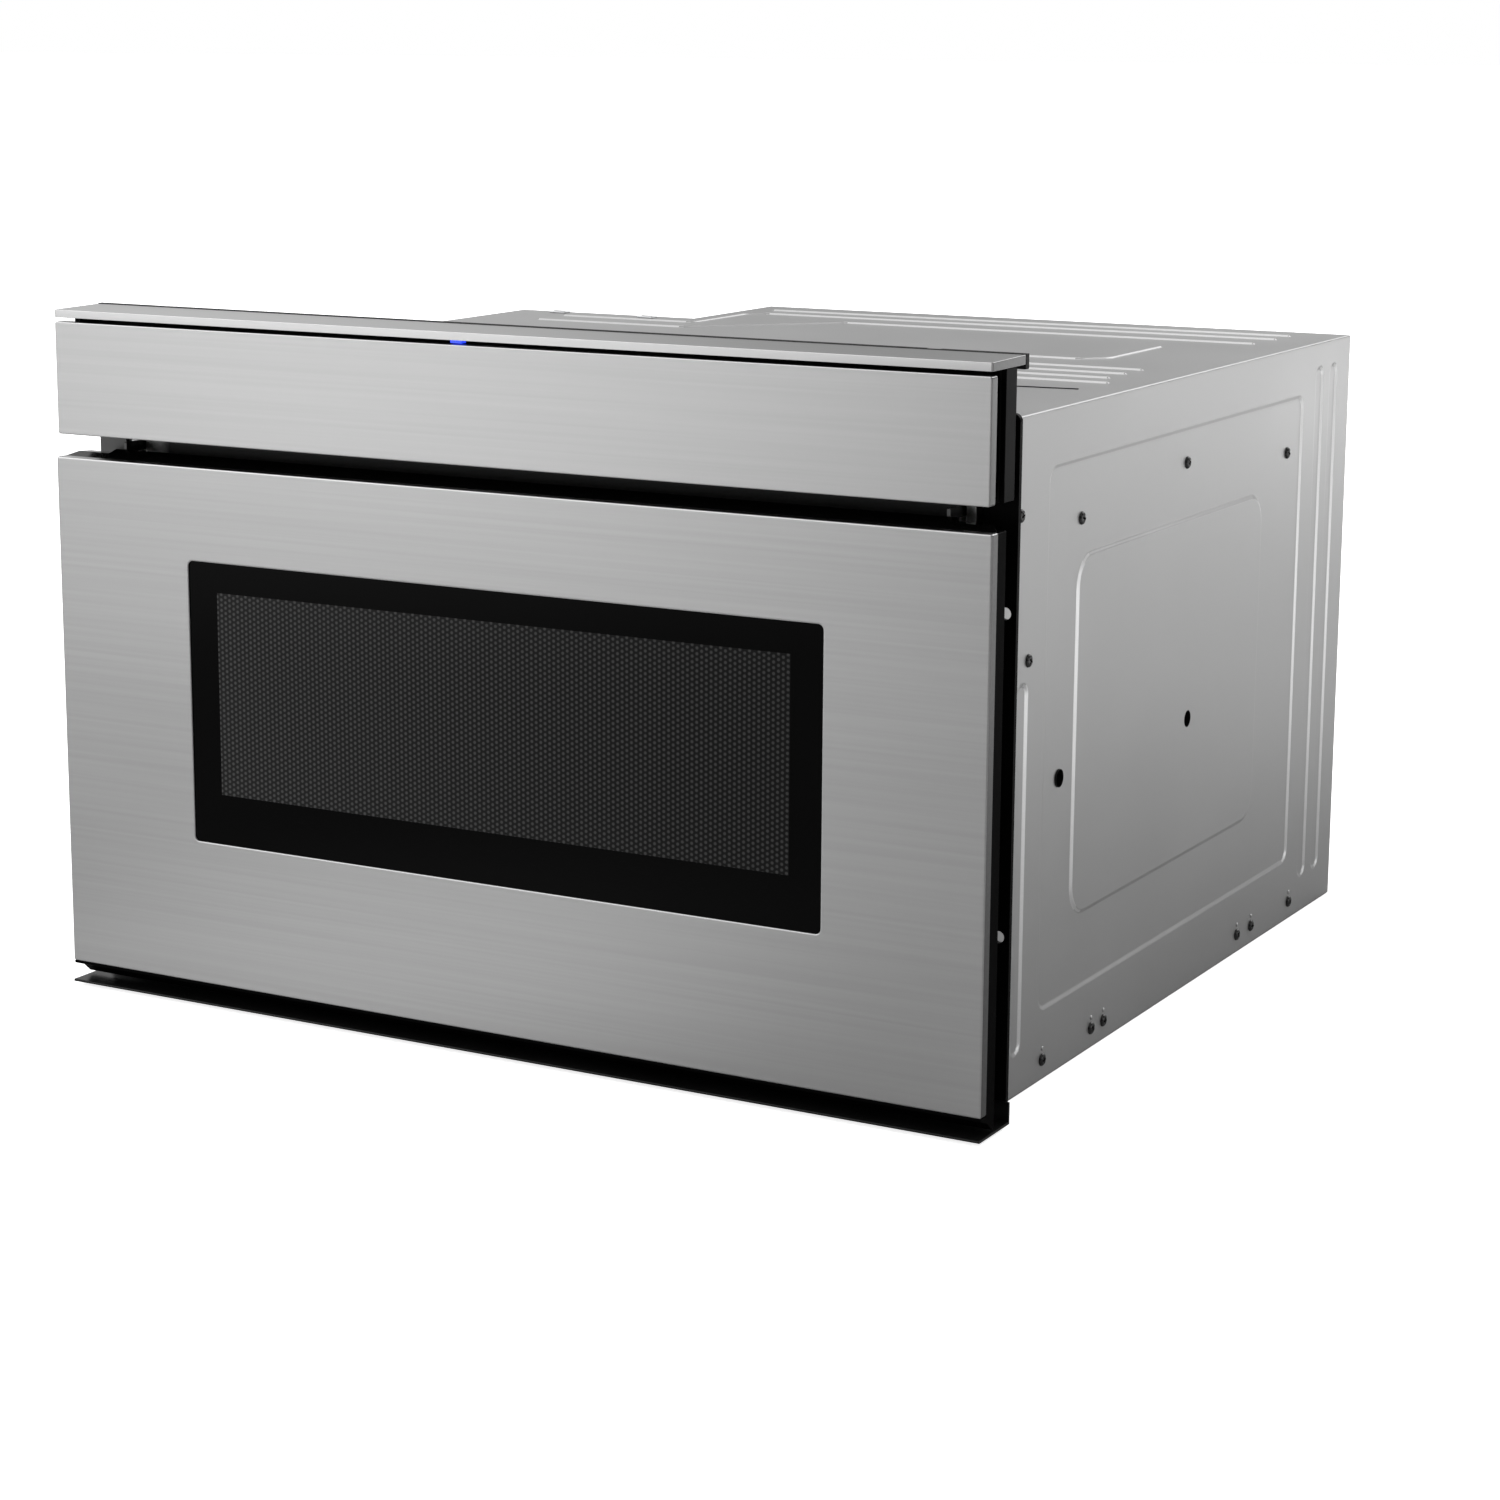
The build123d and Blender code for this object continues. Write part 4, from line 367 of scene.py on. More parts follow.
nodeFinish = {
    "base_plate": caseSheet, "right_side_panel": caseSheet, "left_side_panel": caseSheet,
    "top_panel": caseSheet, "rear_panel": caseSheet, "outlet_recess": caseSheet,
    "front_flange": flangeBlack, "lower_lip": blackCoat, "top_trim": litTrimSteel,
    "trim_carrier": greyPlastic, "trim_seal": rubberSeal, "trim_clips": motorSteel,
    "control_housing": blackPlastic, "status_lens": blueLens, "case_screws": screwSteel,
    "cavity_front_frame": facePlate, "cavity_wrapper": cavityEnamel,
    "cavity_floor": cavityEnamel, "cavity_rear": cavityEnamel, "stirrer_cover": micaSheet,
    "waveguide": zincSheet, "stirrer_motor": motorSteel, "stirrer": aluminium,
    "magnetron": aluminium, "fan_baffle": zincSheet, "fan_motor": motorSteel,
    "cooling_fan": blackPlastic, "exhaust_duct": whitePlastic, "inverter_board": circuitBoard,
    "high_voltage_transformer": copperCore, "heat_sink": aluminium,
    "power_board": circuitBoard, "line_filter": zincSheet, "power_inlet": blackPlastic,
    "lamp_housing": zincSheet, "cavity_lamp": whitePlastic, "outer_slides": zincSheet,
    "middle_slides": zincSheet, "inner_slides": zincSheet, "slide_bearings": ballSteel,
    "slide_brackets": zincSheet, "drive_rack": gearPlastic, "drive_pinion": gearPlastic,
    "drive_motor": motorSteel, "door_skin": shadedDrawerSteel, "window_glass": dottedGlass,
    "window_screen": blackCoat, "door_frame": doorBlack, "choke_frame": zincSheet,
    "choke_cover": blackPlastic, "inner_window": clearPane, "latch_hooks": shadedHookSteel,
    "door_carrier": zincSheet, "drawer_pan": cavityEnamel, "ceramic_tray": blackCeramic,
    "latch_switches": whitePlastic, "panel_fascia": panelSteel, "panel_bin": blackPlastic,
    "touch_glass": touchGlass, "display_board": circuitBoard}
edgeLook = {"merge": 0.01, "wearAndSheen": 0.3, "steps": 2, "angle": 35, "weight": 90}


def softened(made, width):
    # worn edges, and big faces that stay flat in the shading
    if width:
        edge = made.modifiers.new("edge", "BEVEL")
        edge.width, edge.segments, edge.limit_method = width / 1000, edgeLook["steps"], "ANGLE"
        edge.angle_limit = radians(edgeLook["angle"])
    even = made.modifiers.new("even", "WEIGHTED_NORMAL")
    even.keep_sharp, even.weight = True, edgeLook["weight"]


for name, finish in nodeFinish.items():
    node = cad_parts[name]
    node.data.materials.clear()
    node.data.materials.append(finish)
    joined = node.modifiers.new("joined", "WELD")
    joined.merge_threshold = edgeLook["merge"] / 1000
    # the vent slots in the rear stay as the punch left them
    softened(node, 0 if name == "rear_panel" else edgeLook["wearAndSheen"])
print("finishes are mixed:", len(nodeFinish), "carried-over nodes wear one")


def makePiece(name, shapes, body, finish, stands=(), rounding=0.0, sheet=0.0, sharp=40):
    points, faces = [], []
    for shapePoints, shapeFaces in shapes:
        start = len(points)
        points += [Vector(point) / 1000 for point in shapePoints]
        faces += [[start + corner for corner in one] for one in shapeFaces]
    mesh = bpy.data.meshes.new(name)
    mesh.from_pydata(points, [], faces)
    mesh.shade_smooth()
    mesh.set_sharp_from_angle(angle=radians(sharp))
    mesh.materials.append(finish)
    made = bpy.data.objects.new(name, mesh)
    scene.collection.objects.link(made)
    if sheet:
        thick = made.modifiers.new("sheet", "SOLIDIFY")
        thick.thickness, thick.offset = sheet / 1000, -1
        cut = made.modifiers.new("cut", "EDGE_SPLIT")  # the sheet's cut edges stay crisp
        cut.split_angle = radians(sharp)
    softened(made, rounding)
    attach(made, body)
    if stands:
        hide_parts(*stands)
    return made


def partly(made, finish, where):
    # another finish on the faces that the test picks out
    made.data.materials.append(finish)
    for one in made.data.polygons:
        if where(one.center * 1000, one.normal):
            one.material_index = len(made.data.materials) - 1


def ring(uSpan, vSpan, radius, steps=5):
    # rounded rectangle, anticlockwise
    radius = max(radius, 0.01)
    corners = [(uSpan[1] - radius, vSpan[1] - radius, 0), (uSpan[0] + radius, vSpan[1] - radius, 1),
               (uSpan[0] + radius, vSpan[0] + radius, 2), (uSpan[1] - radius, vSpan[0] + radius, 3)]
    return [(u + radius * cos(pi / 2 * (quarter + step / steps)),
             v + radius * sin(pi / 2 * (quarter + step / steps)))
            for u, v, quarter in corners for step in range(steps + 1)]


def grown(span, amount):
    return (span[0] - amount, span[1] + amount)


def wrapLoops(loops, closed=False, caps=(False, False), around=True):
    # loops of equal length, skinned one to the next
    count = len(loops[0])
    points = [point for loop in loops for point in loop]
    rows = [(n, (n + 1) % len(loops)) for n in range(len(loops) - (0 if closed else 1))]
    faces = [[first * count + n, first * count + (n + 1) % count,
              second * count + (n + 1) % count, second * count + n]
             for first, second in rows for n in range(count - (0 if around else 1))]
    if caps[0]:
        faces.append([count - 1 - n for n in range(count)])
    if caps[1]:
        faces.append([(len(loops) - 1) * count + n for n in range(count)])
    if not around:
        faces.append([n * count for n in range(len(loops))])
        faces.append([n * count + count - 1 for n in reversed(range(len(loops)))])
    return points, faces


def turned(shape, needed=True):
    # the same shape with its faces the other way round
    points, faces = shape
    return (points, [one[::-1] for one in faces]) if needed else shape


def foldedSkin(skin, lay):
    # sheet with its four edges rolled back; lay puts (u, v, depth) in place
    u, v, radius = skin["u"], skin["v"], skin["corner"]
    thick, roll, reach, arc = skin["thick"], skin["roll"], skin["reach"], 5
    lip, flat = 0.15, 0.6  # the cut edge's softening, and how near the roll the flat face starts

    def loop(inset, depth):
        return [lay(a, b, depth) for a, b in ring(grown(u, -inset), grown(v, -inset),
                                                  max(radius - inset, 0.05))]

    loops = [loop(roll + flat, 0)]
    loops += [loop(roll * (1 - sin(pi / 2 * n / arc)), roll * (1 - cos(pi / 2 * n / arc)))
              for n in range(arc + 1)]
    loops += [loop(0, reach - lip), loop(lip, reach), loop(thick - lip, reach),
              loop(thick, reach - lip), loop(thick, thick + 0.5), loop(thick + 0.5, thick)]
    if "hole" not in skin:
        return turned(wrapLoops(loops, caps=(True, True)))
    hole = skin["hole"]

    def rim(inset, depth):
        return [lay(a, b, depth) for a, b in ring(grown(hole["u"], -inset),
                                                  grown(hole["v"], -inset),
                                                  hole["radius"] - inset)]

    bevel = hole["bevel"]
    loops += [rim(0, thick), rim(0, bevel), rim(-0.3 * bevel, 0.3 * bevel), rim(-bevel, 0),
              rim(-bevel - flat, 0)]
    return turned(wrapLoops(loops, closed=True))


def onEnds(skin):
    # picks the faces that a skin folds back at its two ends
    return lambda place, normal: abs(normal.x) > 0.75 and abs(place.x) > skin["u"][1] - 0.35


def frontLay(u, v, depth):
    return (u, behind(depth), v)


# steel front
doorLook = {"u": (-299.25, 299.25), "v": (15.0, 319.9), "corner": 1.3, "thick": 1.0,
            "roll": 0.9, "reach": 6.5,
            "hole": {"u": (-205.0, 205.0), "v": (100.6, 265.8), "radius": 3.0, "bevel": 0.5}}
drawerFront = makePiece("drawerFront", [foldedSkin(doorLook, frontLay)], "drawer", shadedDrawerSteel,
                        ["door_skin"], sharp=50)
# the door's folded ends take the darker copy: painted shade
partly(drawerFront, shadedFoldSteel, onEnds(doorLook))
fasciaLook = {"u": (-297.35, 297.35), "v": (333.3, 398.6), "corner": 1.3, "thick": 1.0,
              "roll": 0.6, "reach": 6.5}
panelFront = makePiece("panelFront", [foldedSkin(fasciaLook, frontLay)], "control_panel",
                       panelSteel, ["panel_fascia"], sharp=50)
# the panel's folded ends take the darker copy: painted shade
partly(panelFront, shadedFoldSteel, onEnds(fasciaLook))

trimLook = {"u": (-297.55, 297.55), "v": (0.0, 40.0), "corner": 1.0, "thick": 1.0,
            "roll": 0.25, "reach": 4.5, "top": 405.5, "rise": 0.45}


def trimLay(u, v, depth):
    # the cap climbs a little towards its back
    climb = trimLook["rise"] * v / 40
    return (u, behind(v), trimLook["top"] + climb - depth * (1 + climb / trimLook["reach"]))


trimCap = makePiece("trimCap", [foldedSkin(trimLook, trimLay)], "chassis", litTrimSteel,
                    ["top_trim"], sharp=50)
# the cap's top faces take the darker copy: painted shade
partly(trimCap, shadedLidSteel, lambda place, normal: normal.z > 0.9)
# the cap's folded ends take the darker copy: painted shade
partly(trimCap, shadedFoldSteel, onEnds(trimLook))
print("steel front folded")


def block(x, y, z):
    # six-sided block between three spans, its edges softened later by a bevel
    points = [(a, b, c) for c in z for b in y for a in x]
    return points, [(0, 2, 3, 1), (4, 5, 7, 6), (0, 1, 5, 4), (2, 6, 7, 3), (0, 4, 6, 2),
                    (1, 3, 7, 5)]


housingLook = {"half": 297.05, "strip": (17.6, 30.2), "inner": 294.2, "wall": 1.5,
               "back": (35.0, 37.0), "z": (333.3, 401.0), "ears": (286.05, 289.05),
               "pivot": (8.0, 338.5), "ear": 3.6}


def panelHousing():
    # what the control panel hangs in: back, two cheeks and the ears on its pivot
    look = housingLook
    z = look["z"]
    shapes = [block((-look["inner"], look["inner"]),
                    (behind(look["back"][0]), behind(look["back"][1])), z)]
    depth, height = look["pivot"]
    for side in (-1, 1):
        wall = sorted((side * (look["inner"] - look["wall"]), side * look["inner"]))
        shapes.append(block(wall, (behind(look["strip"][0]), behind(look["back"][0])), z))
        turns = [pi / 2 + pi * n / 10 for n in range(11)]
        ear = [(behind(depth) + look["ear"] * cos(turn), height + look["ear"] * sin(turn))
               for turn in turns] + [(behind(look["back"][0]), height - look["ear"]),
                                     (behind(look["back"][0]), height + look["ear"])]
        ends = sorted(side * x for x in look["ears"])
        shapes.append(wrapLoops([[(x, y, up) for y, up in ear] for x in ends],
                                caps=(True, True)))
    makePiece("panelHousing", shapes, "chassis", blackPlastic,
              ["control_housing"], rounding=0.3)
    strips = [block(sorted((side * look["inner"], side * look["half"])),
                    (behind(look["strip"][0]), behind(look["strip"][1])), z) for side in (-1, 1)]
    makePiece("housingCheeks", strips, "chassis", cheekGrey, rounding=0.4)


panelHousing()
sealLook = {"x": (-297.55, 297.55), "depth": (40.0, 44.0), "z": (398.5, 406.35)}
makePiece("sealStrip", [block(sealLook["x"], [behind(depth) for depth in sealLook["depth"]],
                              sealLook["z"])],
          "chassis", rubberSeal, ["trim_seal"], rounding=0.3)
print("housing stands behind the panel")


def outside(u, v, uSpan, vSpan, radius):
    # distance from a rounded rectangle, less than nothing inside it
    du = abs(u - sum(uSpan) / 2) - (uSpan[1] - uSpan[0]) / 2 + radius
    dv = abs(v - sum(vSpan) / 2) - (vSpan[1] - vSpan[0]) / 2 + radius
    return hypot(max(du, 0), max(dv, 0)) + min(max(du, dv), 0) - radius


def within(u, v, loop):
    # whether a point lies inside a closed loop
    turns = 0
    for (au, av), (bu, bv) in zip(loop, loop[1:] + loop[:1]):
        if (av > v) != (bv > v) and u < (bu - au) * (v - av) / (bv - av) + au:
            turns += 1
    return turns % 2 == 1


def stamped(outline, lines, holes, height, lay, folds=()):
    # flat sheet cut into triangles along its pressed lines, then raised or lowered by height
    points, edges = [], []

    def draw(loop, close=True):
        start = len(points)
        points.extend(Vector(point) for point in loop)
        count = len(loop)
        edges.extend((start + n, start + (n + 1) % count)
                     for n in range(count if close else count - 1))
        return list(range(start, start + count))

    border = draw(outline)
    for line in lines + holes:
        draw(line)
    for fold in folds:
        draw(fold, close=False)
    places, _, faces, *_ = delaunay_2d_cdt(points, edges, [border], 1, 1e-5)

    def kept(one):
        u = sum(places[n][0] for n in one) / len(one)
        v = sum(places[n][1] for n in one) / len(one)
        return not any(within(u, v, hole) for hole in holes)

    return [lay(u, v, height(u, v)) for u, v in places], [one for one in faces if kept(one)]


def circle(u, v, radius, steps=20):
    return [(u + radius * cos(2 * pi * n / steps), v + radius * sin(2 * pi * n / steps))
            for n in range(steps)]


def smoothStep(share):
    share = min(max(share, 0), 1)
    return (1 - cos(pi * share)) / 2


caseLook = {"half": 280.0, "top": 370.0, "start": 40.0, "end": 589.6, "step": (143.0, 479.5),
            "bend": 0.9, "sheet": 1.0, "press": 0.9, "slope": 2.8, "groove": 6.0,
            "holes": [(136.6, 166.6), (323.6, 165.9)], "hole": 5.1, "steep": 0.985,
            "upper": (270, 345), "seam": 365}
rectangles = {1: [((115.0, 504.4), (40.6, 338.8), 8.0), ((156.2, 438.0), (83.7, 285.7), 18.0)],
              -1: [((115.0, 452.0), (40.6, 338.8), 8.0), ((156.2, 408.0), (83.7, 285.7), 18.0)]}
grooves = {1: [(84.2, (24.0, 227.0)), (533.9, (24.0, 354.0)), (559.3, (24.0, 354.0))],
           -1: [(84.2, (24.0, 227.0))]}
slopeSteps = (-0.62, -0.5, -0.25, 0.0, 0.25, 0.5, 0.62)


def sidePanel(side, end):
    look = caseLook
    outer, inner = rectangles[side]
    pockets = [((middle - look["groove"], middle + look["groove"]), heights, look["groove"] - 0.01)
               for middle, heights in grooves[side]]

    def height(u, v):
        gap = max(outside(u, v, *outer), -outside(u, v, *inner))
        for pocket in pockets:
            gap = min(gap, outside(u, v, *pocket))
        return -look["press"] * smoothStep(0.5 - gap / look["slope"])

    lines = []
    for uSpan, vSpan, radius in [outer, inner] + pockets:
        for step in slopeSteps:
            by = step * look["slope"]
            lines.append(ring(grown(uSpan, by), grown(vSpan, by), radius + by, 7))
    bend = look["bend"]
    bendStart, bendLength = look["top"] - bend, bend * pi / 2

    def lay(u, v, rise):
        turn = max(v - bendStart, 0) / bend
        if turn:
            return (side * (look["half"] - bend + bend * cos(turn)), behind(u),
                    bendStart + bend * sin(turn))
        return (side * (look["half"] + rise), behind(u), v)

    bottom, top = 0.4, bendStart + bendLength
    outline = [(look["start"], bottom), (end, bottom), (end, top), (look["start"], top)]
    rises = [bendStart + bendLength * n / 4 for n in range(4)] + [bendStart - 1]
    folds = [[(look["start"], rise), (end, rise)] for rise in rises]
    holes = [circle(*place, look["hole"]) for place in look["holes"]]
    return turned(stamped(outline, lines, holes, height, lay, folds), side < 0)


def onSlopes(place, normal):
    return abs(normal.x) < caseLook["steep"] and place.z < caseLook["seam"]


for name, side, end, stands in (
        ("caseSideRight", 1, caseLook["end"], "right_side_panel"),
        ("caseSideLeft", -1, caseLook["step"][1], "left_side_panel")):
    made = makePiece(name, [sidePanel(side, end)], "chassis", caseSheet, [stands],
                     sheet=caseLook["sheet"], sharp=60)
    low, high = caseLook["upper"]
    # slopes of the upper band and slopes facing the front take lighter sheet: painted highlights
    partly(made, litSlopeSheet, lambda place, normal: onSlopes(place, normal) and low < place.z < high)
    partly(made, frontLitSlopeSheet, lambda place, normal: onSlopes(place, normal) and normal.y < -0.1)


def bent(route, radius, steps=5):
    # the route's corners rounded off
    smooth = [route[0]]
    for before, corner, after in zip(route, route[1:], route[2:]):
        inward, onward = [(Vector(end) - Vector(corner)).normalized() for end in (before, after)]
        half = inward.angle(onward) / 2
        reach = radius * cos(half) / sin(half)
        start, stop = Vector(corner) + inward * reach, Vector(corner) + onward * reach
        for n in range(steps + 1):
            share = n / steps
            mixed = start * (1 - share) ** 2 + 2 * share * (1 - share) * Vector(corner)
            smooth.append(tuple(mixed + stop * share ** 2))
    return smooth + [route[-1]]


def roundRoute(route, half):
    # outline at a distance from the route, with round ends
    left, right = [], []
    for n, point in enumerate(route):
        before = Vector(route[max(n - 1, 0)])
        after = Vector(route[min(n + 1, len(route) - 1)])
        along = (after - before).normalized()
        aside = Vector((-along[1], along[0])) * half
        left.append(tuple(Vector(point) + aside))
        right.append(tuple(Vector(point) - aside))
    caps = []
    for point, near in ((route[-1], left[-1]), (route[0], right[0])):
        start = atan2(near[1] - point[1], near[0] - point[0])
        turns = [start - pi * n / 8 for n in range(1, 8)]
        caps.append([(point[0] + half * cos(turn), point[1] + half * sin(turn)) for turn in turns])
    return left + caps[0] + right[::-1] + caps[1]


def offRoute(u, v, route):
    best = 1e9
    for (ax, ay), (bx, by) in zip(route, route[1:]):
        dx, dy = bx - ax, by - ay
        share = min(max(((u - ax) * dx + (v - ay) * dy) / (dx * dx + dy * dy), 0), 1)
        best = min(best, hypot(u - ax - share * dx, v - ay - share * dy))
    return best


topLook = {"rib": 0.9, "half": 2.1, "slitHalf": 0.5,
           "slit": [(203.9, 217.0), (205.6, 228.0), (206.3, 240.0), (207.0, 241.0), (208.4, 254.5)],
           "ribs": [[(-60, 319.8), (246, 319.8)], [(-60, 294.8), (246, 294.8)],
                    [(-60, 270.0), (246, 270.0)], [(-60, 245.3), (256, 245.3)],
                    [(-229, 359.8), (190, 359.8), (204, 373.8), (204, 452.8)],
                    [(-229, 420.0), (-118, 420.0), (-39, 500.3), (247, 500.3)],
                    [(-229, 452.5), (-128, 452.5), (-128, 521.9), (-116, 533.9), (249, 533.9)],
                    [(-124, 559.7), (249, 559.7)]]}


def topPanel():
    look, case = topLook, caseLook
    routes = [bent(route, 9.0) if len(route) > 2 else route for route in look["ribs"]]

    def height(u, v):
        return look["rib"] * max(smoothStep(1 - offRoute(u, v, route) / look["half"])
                                 for route in routes)

    lines = [roundRoute(route, look["half"] * step) for route in routes
             for step in (0.25, 0.5, 0.75, 1.0, 1.3)]
    reach, start, end = case["half"] - case["bend"], case["start"], case["end"]
    inset, notch = case["step"]
    outline = [(-reach, start), (reach, start), (reach, end), (-inset, end), (-inset, notch),
               (-reach, notch)]
    slit = [(x, depth + side * look["slitHalf"]) for side in (-1, 1)
            for depth, x in look["slit"][::-side]]
    return stamped(outline, lines, [slit], height,
                   lambda u, v, rise: (u, behind(v), case["top"] + rise), routes)


caseTop = makePiece("caseTop", [topPanel()], "chassis", caseSheet, ["top_panel"],
                    sheet=caseLook["sheet"], sharp=60)
# the ribs' sloping sides take a much lighter sheet: painted highlights
partly(caseTop, ribHighlightSheet, lambda place, normal: abs(normal.z) < 0.99 and abs(normal.x) < 0.1)
slitShadeLook = {"z": (369.2, 370.5)}  # black strip that fills the slit: a dark sheet for the shade inside it
slitShadeRoute = [[(x, behind(depth) + topLook["slitHalf"] * side, slitShadeLook["z"][end])
              for side, end in ((-1, 0), (1, 0), (1, 1), (-1, 1))] for depth, x in topLook["slit"]]
makePiece("slitShadeStrip", [wrapLoops(slitShadeRoute, caps=(True, True))], "chassis", blackCoat)
print("case pressed")

screwLook = {"radius": 3.7, "rise": 1.7, "arm": (0.5, 2.0), "deep": 1.1,
             "flat": [(77.1, 318.0), (90.9, 239.2)], "foot": 11.5,
             "feet": [121.1, 189.1, 206.8, 419.1, 443.6, 511.9],
             "channel": [(159.8, 306.3), (312.9, 319.0), (480.7, 305.8)],
             "last": {1: 600.0, -1: 467.5}, "nub": {"radius": 1.3, "above": 6.2, "rise": 0.8}}


def screwHead(look, turn):
    # domed head with a cross sunk in it, flat on the (u, v) plane
    radius, (half, reach) = look["radius"], look["arm"]

    def cross(half, reach):
        corners = [(reach, -half), (reach, half), (half, half), (half, reach), (-half, reach),
                   (-half, half), (-reach, half), (-reach, -half), (-half, -half),
                   (-half, -reach), (half, -reach), (half, -half)]
        return [(u * cos(turn) - v * sin(turn), u * sin(turn) + v * cos(turn)) for u, v in corners]

    floor = cross(half - 0.14, reach - 0.14)
    floorTest = cross(half - 0.12, reach - 0.12)

    def height(u, v):
        dome = look["rise"] * max(1 - (hypot(u, v) / radius) ** 4, 0) ** 0.5
        return dome - (look["deep"] if within(u, v, floorTest) else 0)

    lines = [circle(0, 0, radius * share, 24) for share in (0.985, 0.93, 0.82, 0.66)]
    lines += [cross(half, reach), floor]
    return stamped(circle(0, 0, radius, 24), lines, [], height, lambda u, v, rise: (u, v, rise))


def caseScrews():
    look, nub, heads, nubs = screwLook, screwLook["nub"], [], []
    for side, last in look["last"].items():
        spots = [(depth, z, 0.0) for depth, z in look["flat"]]
        spots += [(depth, look["foot"], 0.0) for depth in look["feet"]]
        spots += [(depth, z, -caseLook["press"]) for depth, z in look["channel"]]
        for n, (depth, z, seat) in enumerate(spots):
            if depth > last:
                continue
            points, faces = screwHead(look, radians(17 + 41 * n))
            out = caseLook["half"] + seat
            points = [(side * (out + rise), behind(depth) + u, z + v) for u, v, rise in points]
            heads.append(turned((points, faces), side < 0))
            if z == look["foot"]:
                rings = [[(side * (out + nub["rise"] * sin(lift)), behind(depth) + u * cos(lift),
                           z + nub["above"] + v * cos(lift))
                          for u, v in circle(0, 0, nub["radius"], 12)]
                         for lift in (0, 0.5, 1.0, 1.4)]
                nubs.append(turned(wrapLoops(rings, caps=(False, True)), side < 0))
    makePiece("caseScrews", heads, "chassis", screwSteel, ["case_screws"], sharp=35)
    makePiece("footNubs", nubs, "chassis", caseSheet)


caseScrews()
cupLook = {"walls": ((0.05, 5.1), (0.05, 4.95), (5.0, 4.8), (5.2, 4.5))}  # how deep, radius
cups = []
for side in (-1, 1):  # blind black cups behind the side's two holes: a dark sheet for the shade inside them
    for depth, z in caseLook["holes"]:
        walls = [[(side * (caseLook["half"] - back), behind(depth) + u, z + v)
                  for u, v in circle(0, 0, radius, 20)] for back, radius in cupLook["walls"]]
        cups.append(turned(wrapLoops(walls, caps=(False, True)), side < 0))
makePiece("holeShadeCups", cups, "chassis", blackCoat)
tabLook = {"places": [((-251.0, -238.5), (468.0, 475.5)), ((-179.0, -167.0), (464.5, 472.0))],
           "z": (370.0, 371.3)}
tabs = [block(x, (behind(start), behind(end)), tabLook["z"])
        for x, (start, end) in tabLook["places"]]
makePiece("topTabs", tabs, "chassis", zincSheet, rounding=0.5)
print("screws driven")

panLook = {"half": 222.85, "front": 36.7, "rear": 458.8, "corner": 24.0, "wall": 3.0, "rim": 232.0,
           "roll": 1.5, "bend": 6, "floor": (100.0, 105.0), "seat": 33.0}


def ovenPan():
    # three walls of one sheet with round corners, a rolled rim and a seat for the tray
    look = panLook
    (low, high), rim, wall = look["floor"], look["rim"], look["wall"]
    roll, bend = look["roll"], look["bend"]
    profile = [(0, low), (0, rim - roll)]
    profile += [(roll - roll * cos(pi * n / 6), rim - roll + roll * sin(pi * n / 6))
                for n in range(1, 7)]
    profile += [(wall, high + bend)]
    profile += [(wall + bend - bend * cos(pi / 2 * n / 5), high + bend - bend * sin(pi / 2 * n / 5))
                for n in range(1, 6)]
    profile += [(look["seat"], high), (look["seat"], low)]

    def plan(inset, z):
        radius = max(look["corner"] - inset, 0.05)
        half, rear = look["half"] - inset, look["rear"] - inset
        row = [(-half, look["front"])]
        for side, start in ((-1, 0), (1, pi / 2)):
            row += [(side * (half - radius) - radius * cos(start + pi / 2 * n / 8),
                     rear - radius + radius * sin(start + pi / 2 * n / 8)) for n in range(9)]
        return [(x, behind(depth), z) for x, depth in row + [(half, look["front"])]]

    walls = wrapLoops([plan(inset, z) for inset, z in profile], closed=True, around=False)
    makePiece("ovenPan", [turned(walls)], "drawer", cavityEnamel,
              ["drawer_pan"], sharp=50)


ovenPan()
trayLook = {"u": (-213.2, 213.2), "v": (37.3, 449.2), "corner": 15.0, "z": (105.1, 112.0),
            "edge": 1.6}


def ovenTray():
    look, (low, high) = trayLook, trayLook["z"]
    edge = look["edge"]
    steps = [(0.6, low), (0.0, low + 0.6)]
    steps += [(edge * (1 - cos(pi / 2 * n / 5)), high - edge + edge * sin(pi / 2 * n / 5))
              for n in range(6)]
    loops = [[(u, behind(v), z) for u, v in ring(grown(look["u"], -inset), grown(look["v"], -inset),
                                                 look["corner"] - inset, 7)] for inset, z in steps]
    makePiece("ovenTray", [wrapLoops(loops, caps=(True, True))], "drawer", blackCeramic,
              ["ceramic_tray"], sharp=50)


ovenTray()
print("pan pressed")

# studio: bearings run from straight ahead of the drawer towards its left, angles are degrees
studio = {"floor": (0.93, 0.96), "floorMirrored": 0.52, "lift": (0.8, 1.0), "dim": 0.015}
boards = [{"bearing": 204, "away": 1.45, "reach": (0.27, 0.9), "glow": 0.28},
          {"bearing": 202, "away": 3.2, "reach": (0.54, 1.8), "glow": 0.35},
          {"bearing": 199, "away": 4.0, "reach": (0.6, 1.6), "glow": 2.8},
          {"bearing": 252, "away": 1.8, "reach": (0.35, 1.05), "glow": 1.9},
          {"bearing": 19, "away": 0.52, "reach": (0.05, 0.38), "glow": 0.5},
          {"bearing": 30, "away": 2.12, "reach": (0.1, 0.8), "glow": 0.6},
          {"bearing": 31, "away": 3.27, "reach": (0.25, 1.1), "glow": 2.5}]
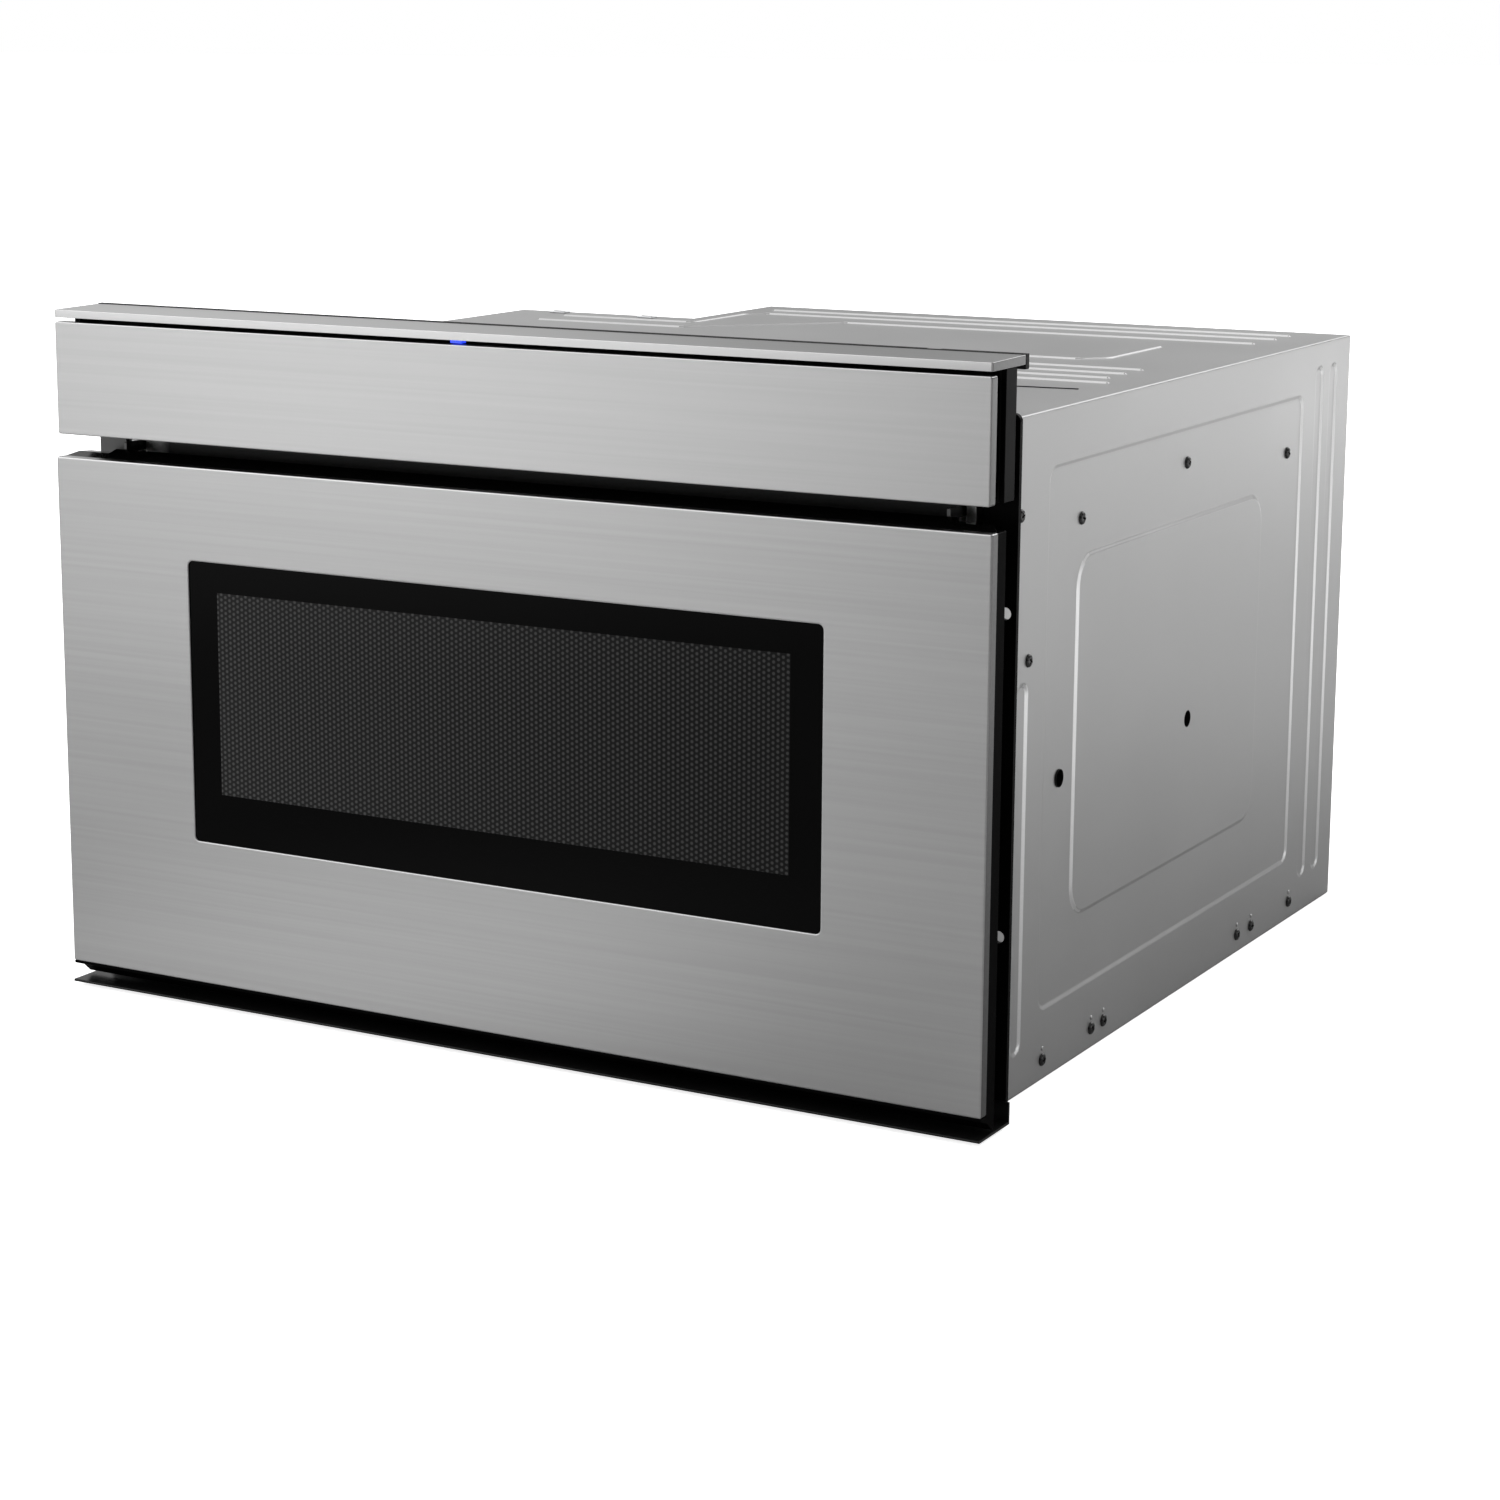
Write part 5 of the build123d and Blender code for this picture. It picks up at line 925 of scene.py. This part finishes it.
screens = [{"bearing": 32, "height": 6, "reach": (20, 4), "glow": 1.76},
           {"bearing": 52, "height": 6, "reach": (20, 4), "glow": 2.0},
           {"bearing": 135, "height": 6, "reach": (20, 4), "glow": 0.69},
           {"bearing": 170, "height": 6, "reach": (20, 4), "glow": 0.22},
           {"bearing": 228, "height": 6, "reach": (20, 4), "glow": 0.7},
           {"bearing": 255, "height": 6, "reach": (20, 4), "glow": 2.2},
           {"bearing": 30, "height": 35, "reach": (32, 10), "glow": 1.64},
           {"bearing": 70, "height": 35, "reach": (32, 10), "glow": 2.16},
           {"bearing": 150, "height": 35, "reach": (32, 10), "glow": 0.7},
           {"bearing": 195, "height": 34, "reach": (32, 10), "glow": 2.8},
           {"bearing": 300, "height": 35, "reach": (32, 10), "glow": 0.56},
           {"bearing": 0, "height": 90, "reach": (50, 20), "glow": 0.6}]


def towards(bearing, height=0):
    bearing, height = radians(bearing), radians(height)
    return Vector((-sin(bearing) * cos(height), -cos(bearing) * cos(height), sin(height)))


floorPaint = Paint("floorPaint", Roughness=0.7, **{"Specular IOR Level": 0.1,
                                                   "Emission Strength": 1.0})
patch = floorPaint.spread(floorPaint.noise(floorPaint.spot(), 3.0), 0, 1)
seen = floorPaint.node("ShaderNodeLightPath", out="Is Camera Ray")
pale = floorPaint.blend(patch, grey(studio["floor"][0]), grey(studio["floor"][1]))
x, y = floorPaint.axes()[:2]
away = floorPaint.spread(floorPaint.sum("SQRT", x * x + y * y), 0, 1, 0.6, 3.0)
lift = floorPaint.blend(away, grey(studio["lift"][0]), grey(studio["lift"][1]))
reflected = 0.0
for board in boards:  # pale boards lie on the floor, seen only in reflections
    middle = towards(board["bearing"]) * board["away"]
    offX, offY = x - middle.x, y - middle.y
    gap = floorPaint.sum("SQRT", offX * offX + offY * offY)
    reflected = reflected + board["glow"] * floorPaint.fade(gap, 1, 0, *board["reach"])
floorPaint.feed(colour=floorPaint.blend(seen, grey(studio["floorMirrored"]), pale),
                glow=floorPaint.blend(seen, floorPaint.bright(reflected), lift))
floorSize = 30.0
floorMesh = bpy.data.meshes.new("floor")
floorMesh.from_pydata([(x * floorSize, y * floorSize, -0.0005) for x, y in
                       ((-1, -1), (1, -1), (1, 1), (-1, 1))], [], [(0, 1, 2, 3)])
floorMesh.materials.append(floorPaint.owner)
floor = bpy.data.objects.new("floor", floorMesh)
scene.collection.objects.link(floor)

sky = Paint("studio", bpy.data.worlds)
direction = sky.node("ShaderNodeTexCoord", out="Generated")
around = studio["dim"]
for screen in screens:  # wide soft screens, brightest in their middle
    near = sky.node("ShaderNodeVectorMath", {"operation": "DOT_PRODUCT"},
                    {0: direction, 1: towards(screen["bearing"], screen["height"])}, "Value")
    rim, core = [cos(radians(angle)) for angle in screen["reach"]]
    around = around + screen["glow"] * sky.fade(near, 0, 1, rim, core)
seen = sky.node("ShaderNodeLightPath", out="Is Camera Ray")
glow = sky.blend(seen, sky.bright(around), grey(1))
ground = sky.node("ShaderNodeBackground", sockets={"Color": glow, "Strength": 1.0})
sky.node("ShaderNodeOutputWorld", sockets={"Surface": ground}, out=None)
scene.world = sky.owner
scene.view_settings.view_transform = "Standard"
print("studio lit")
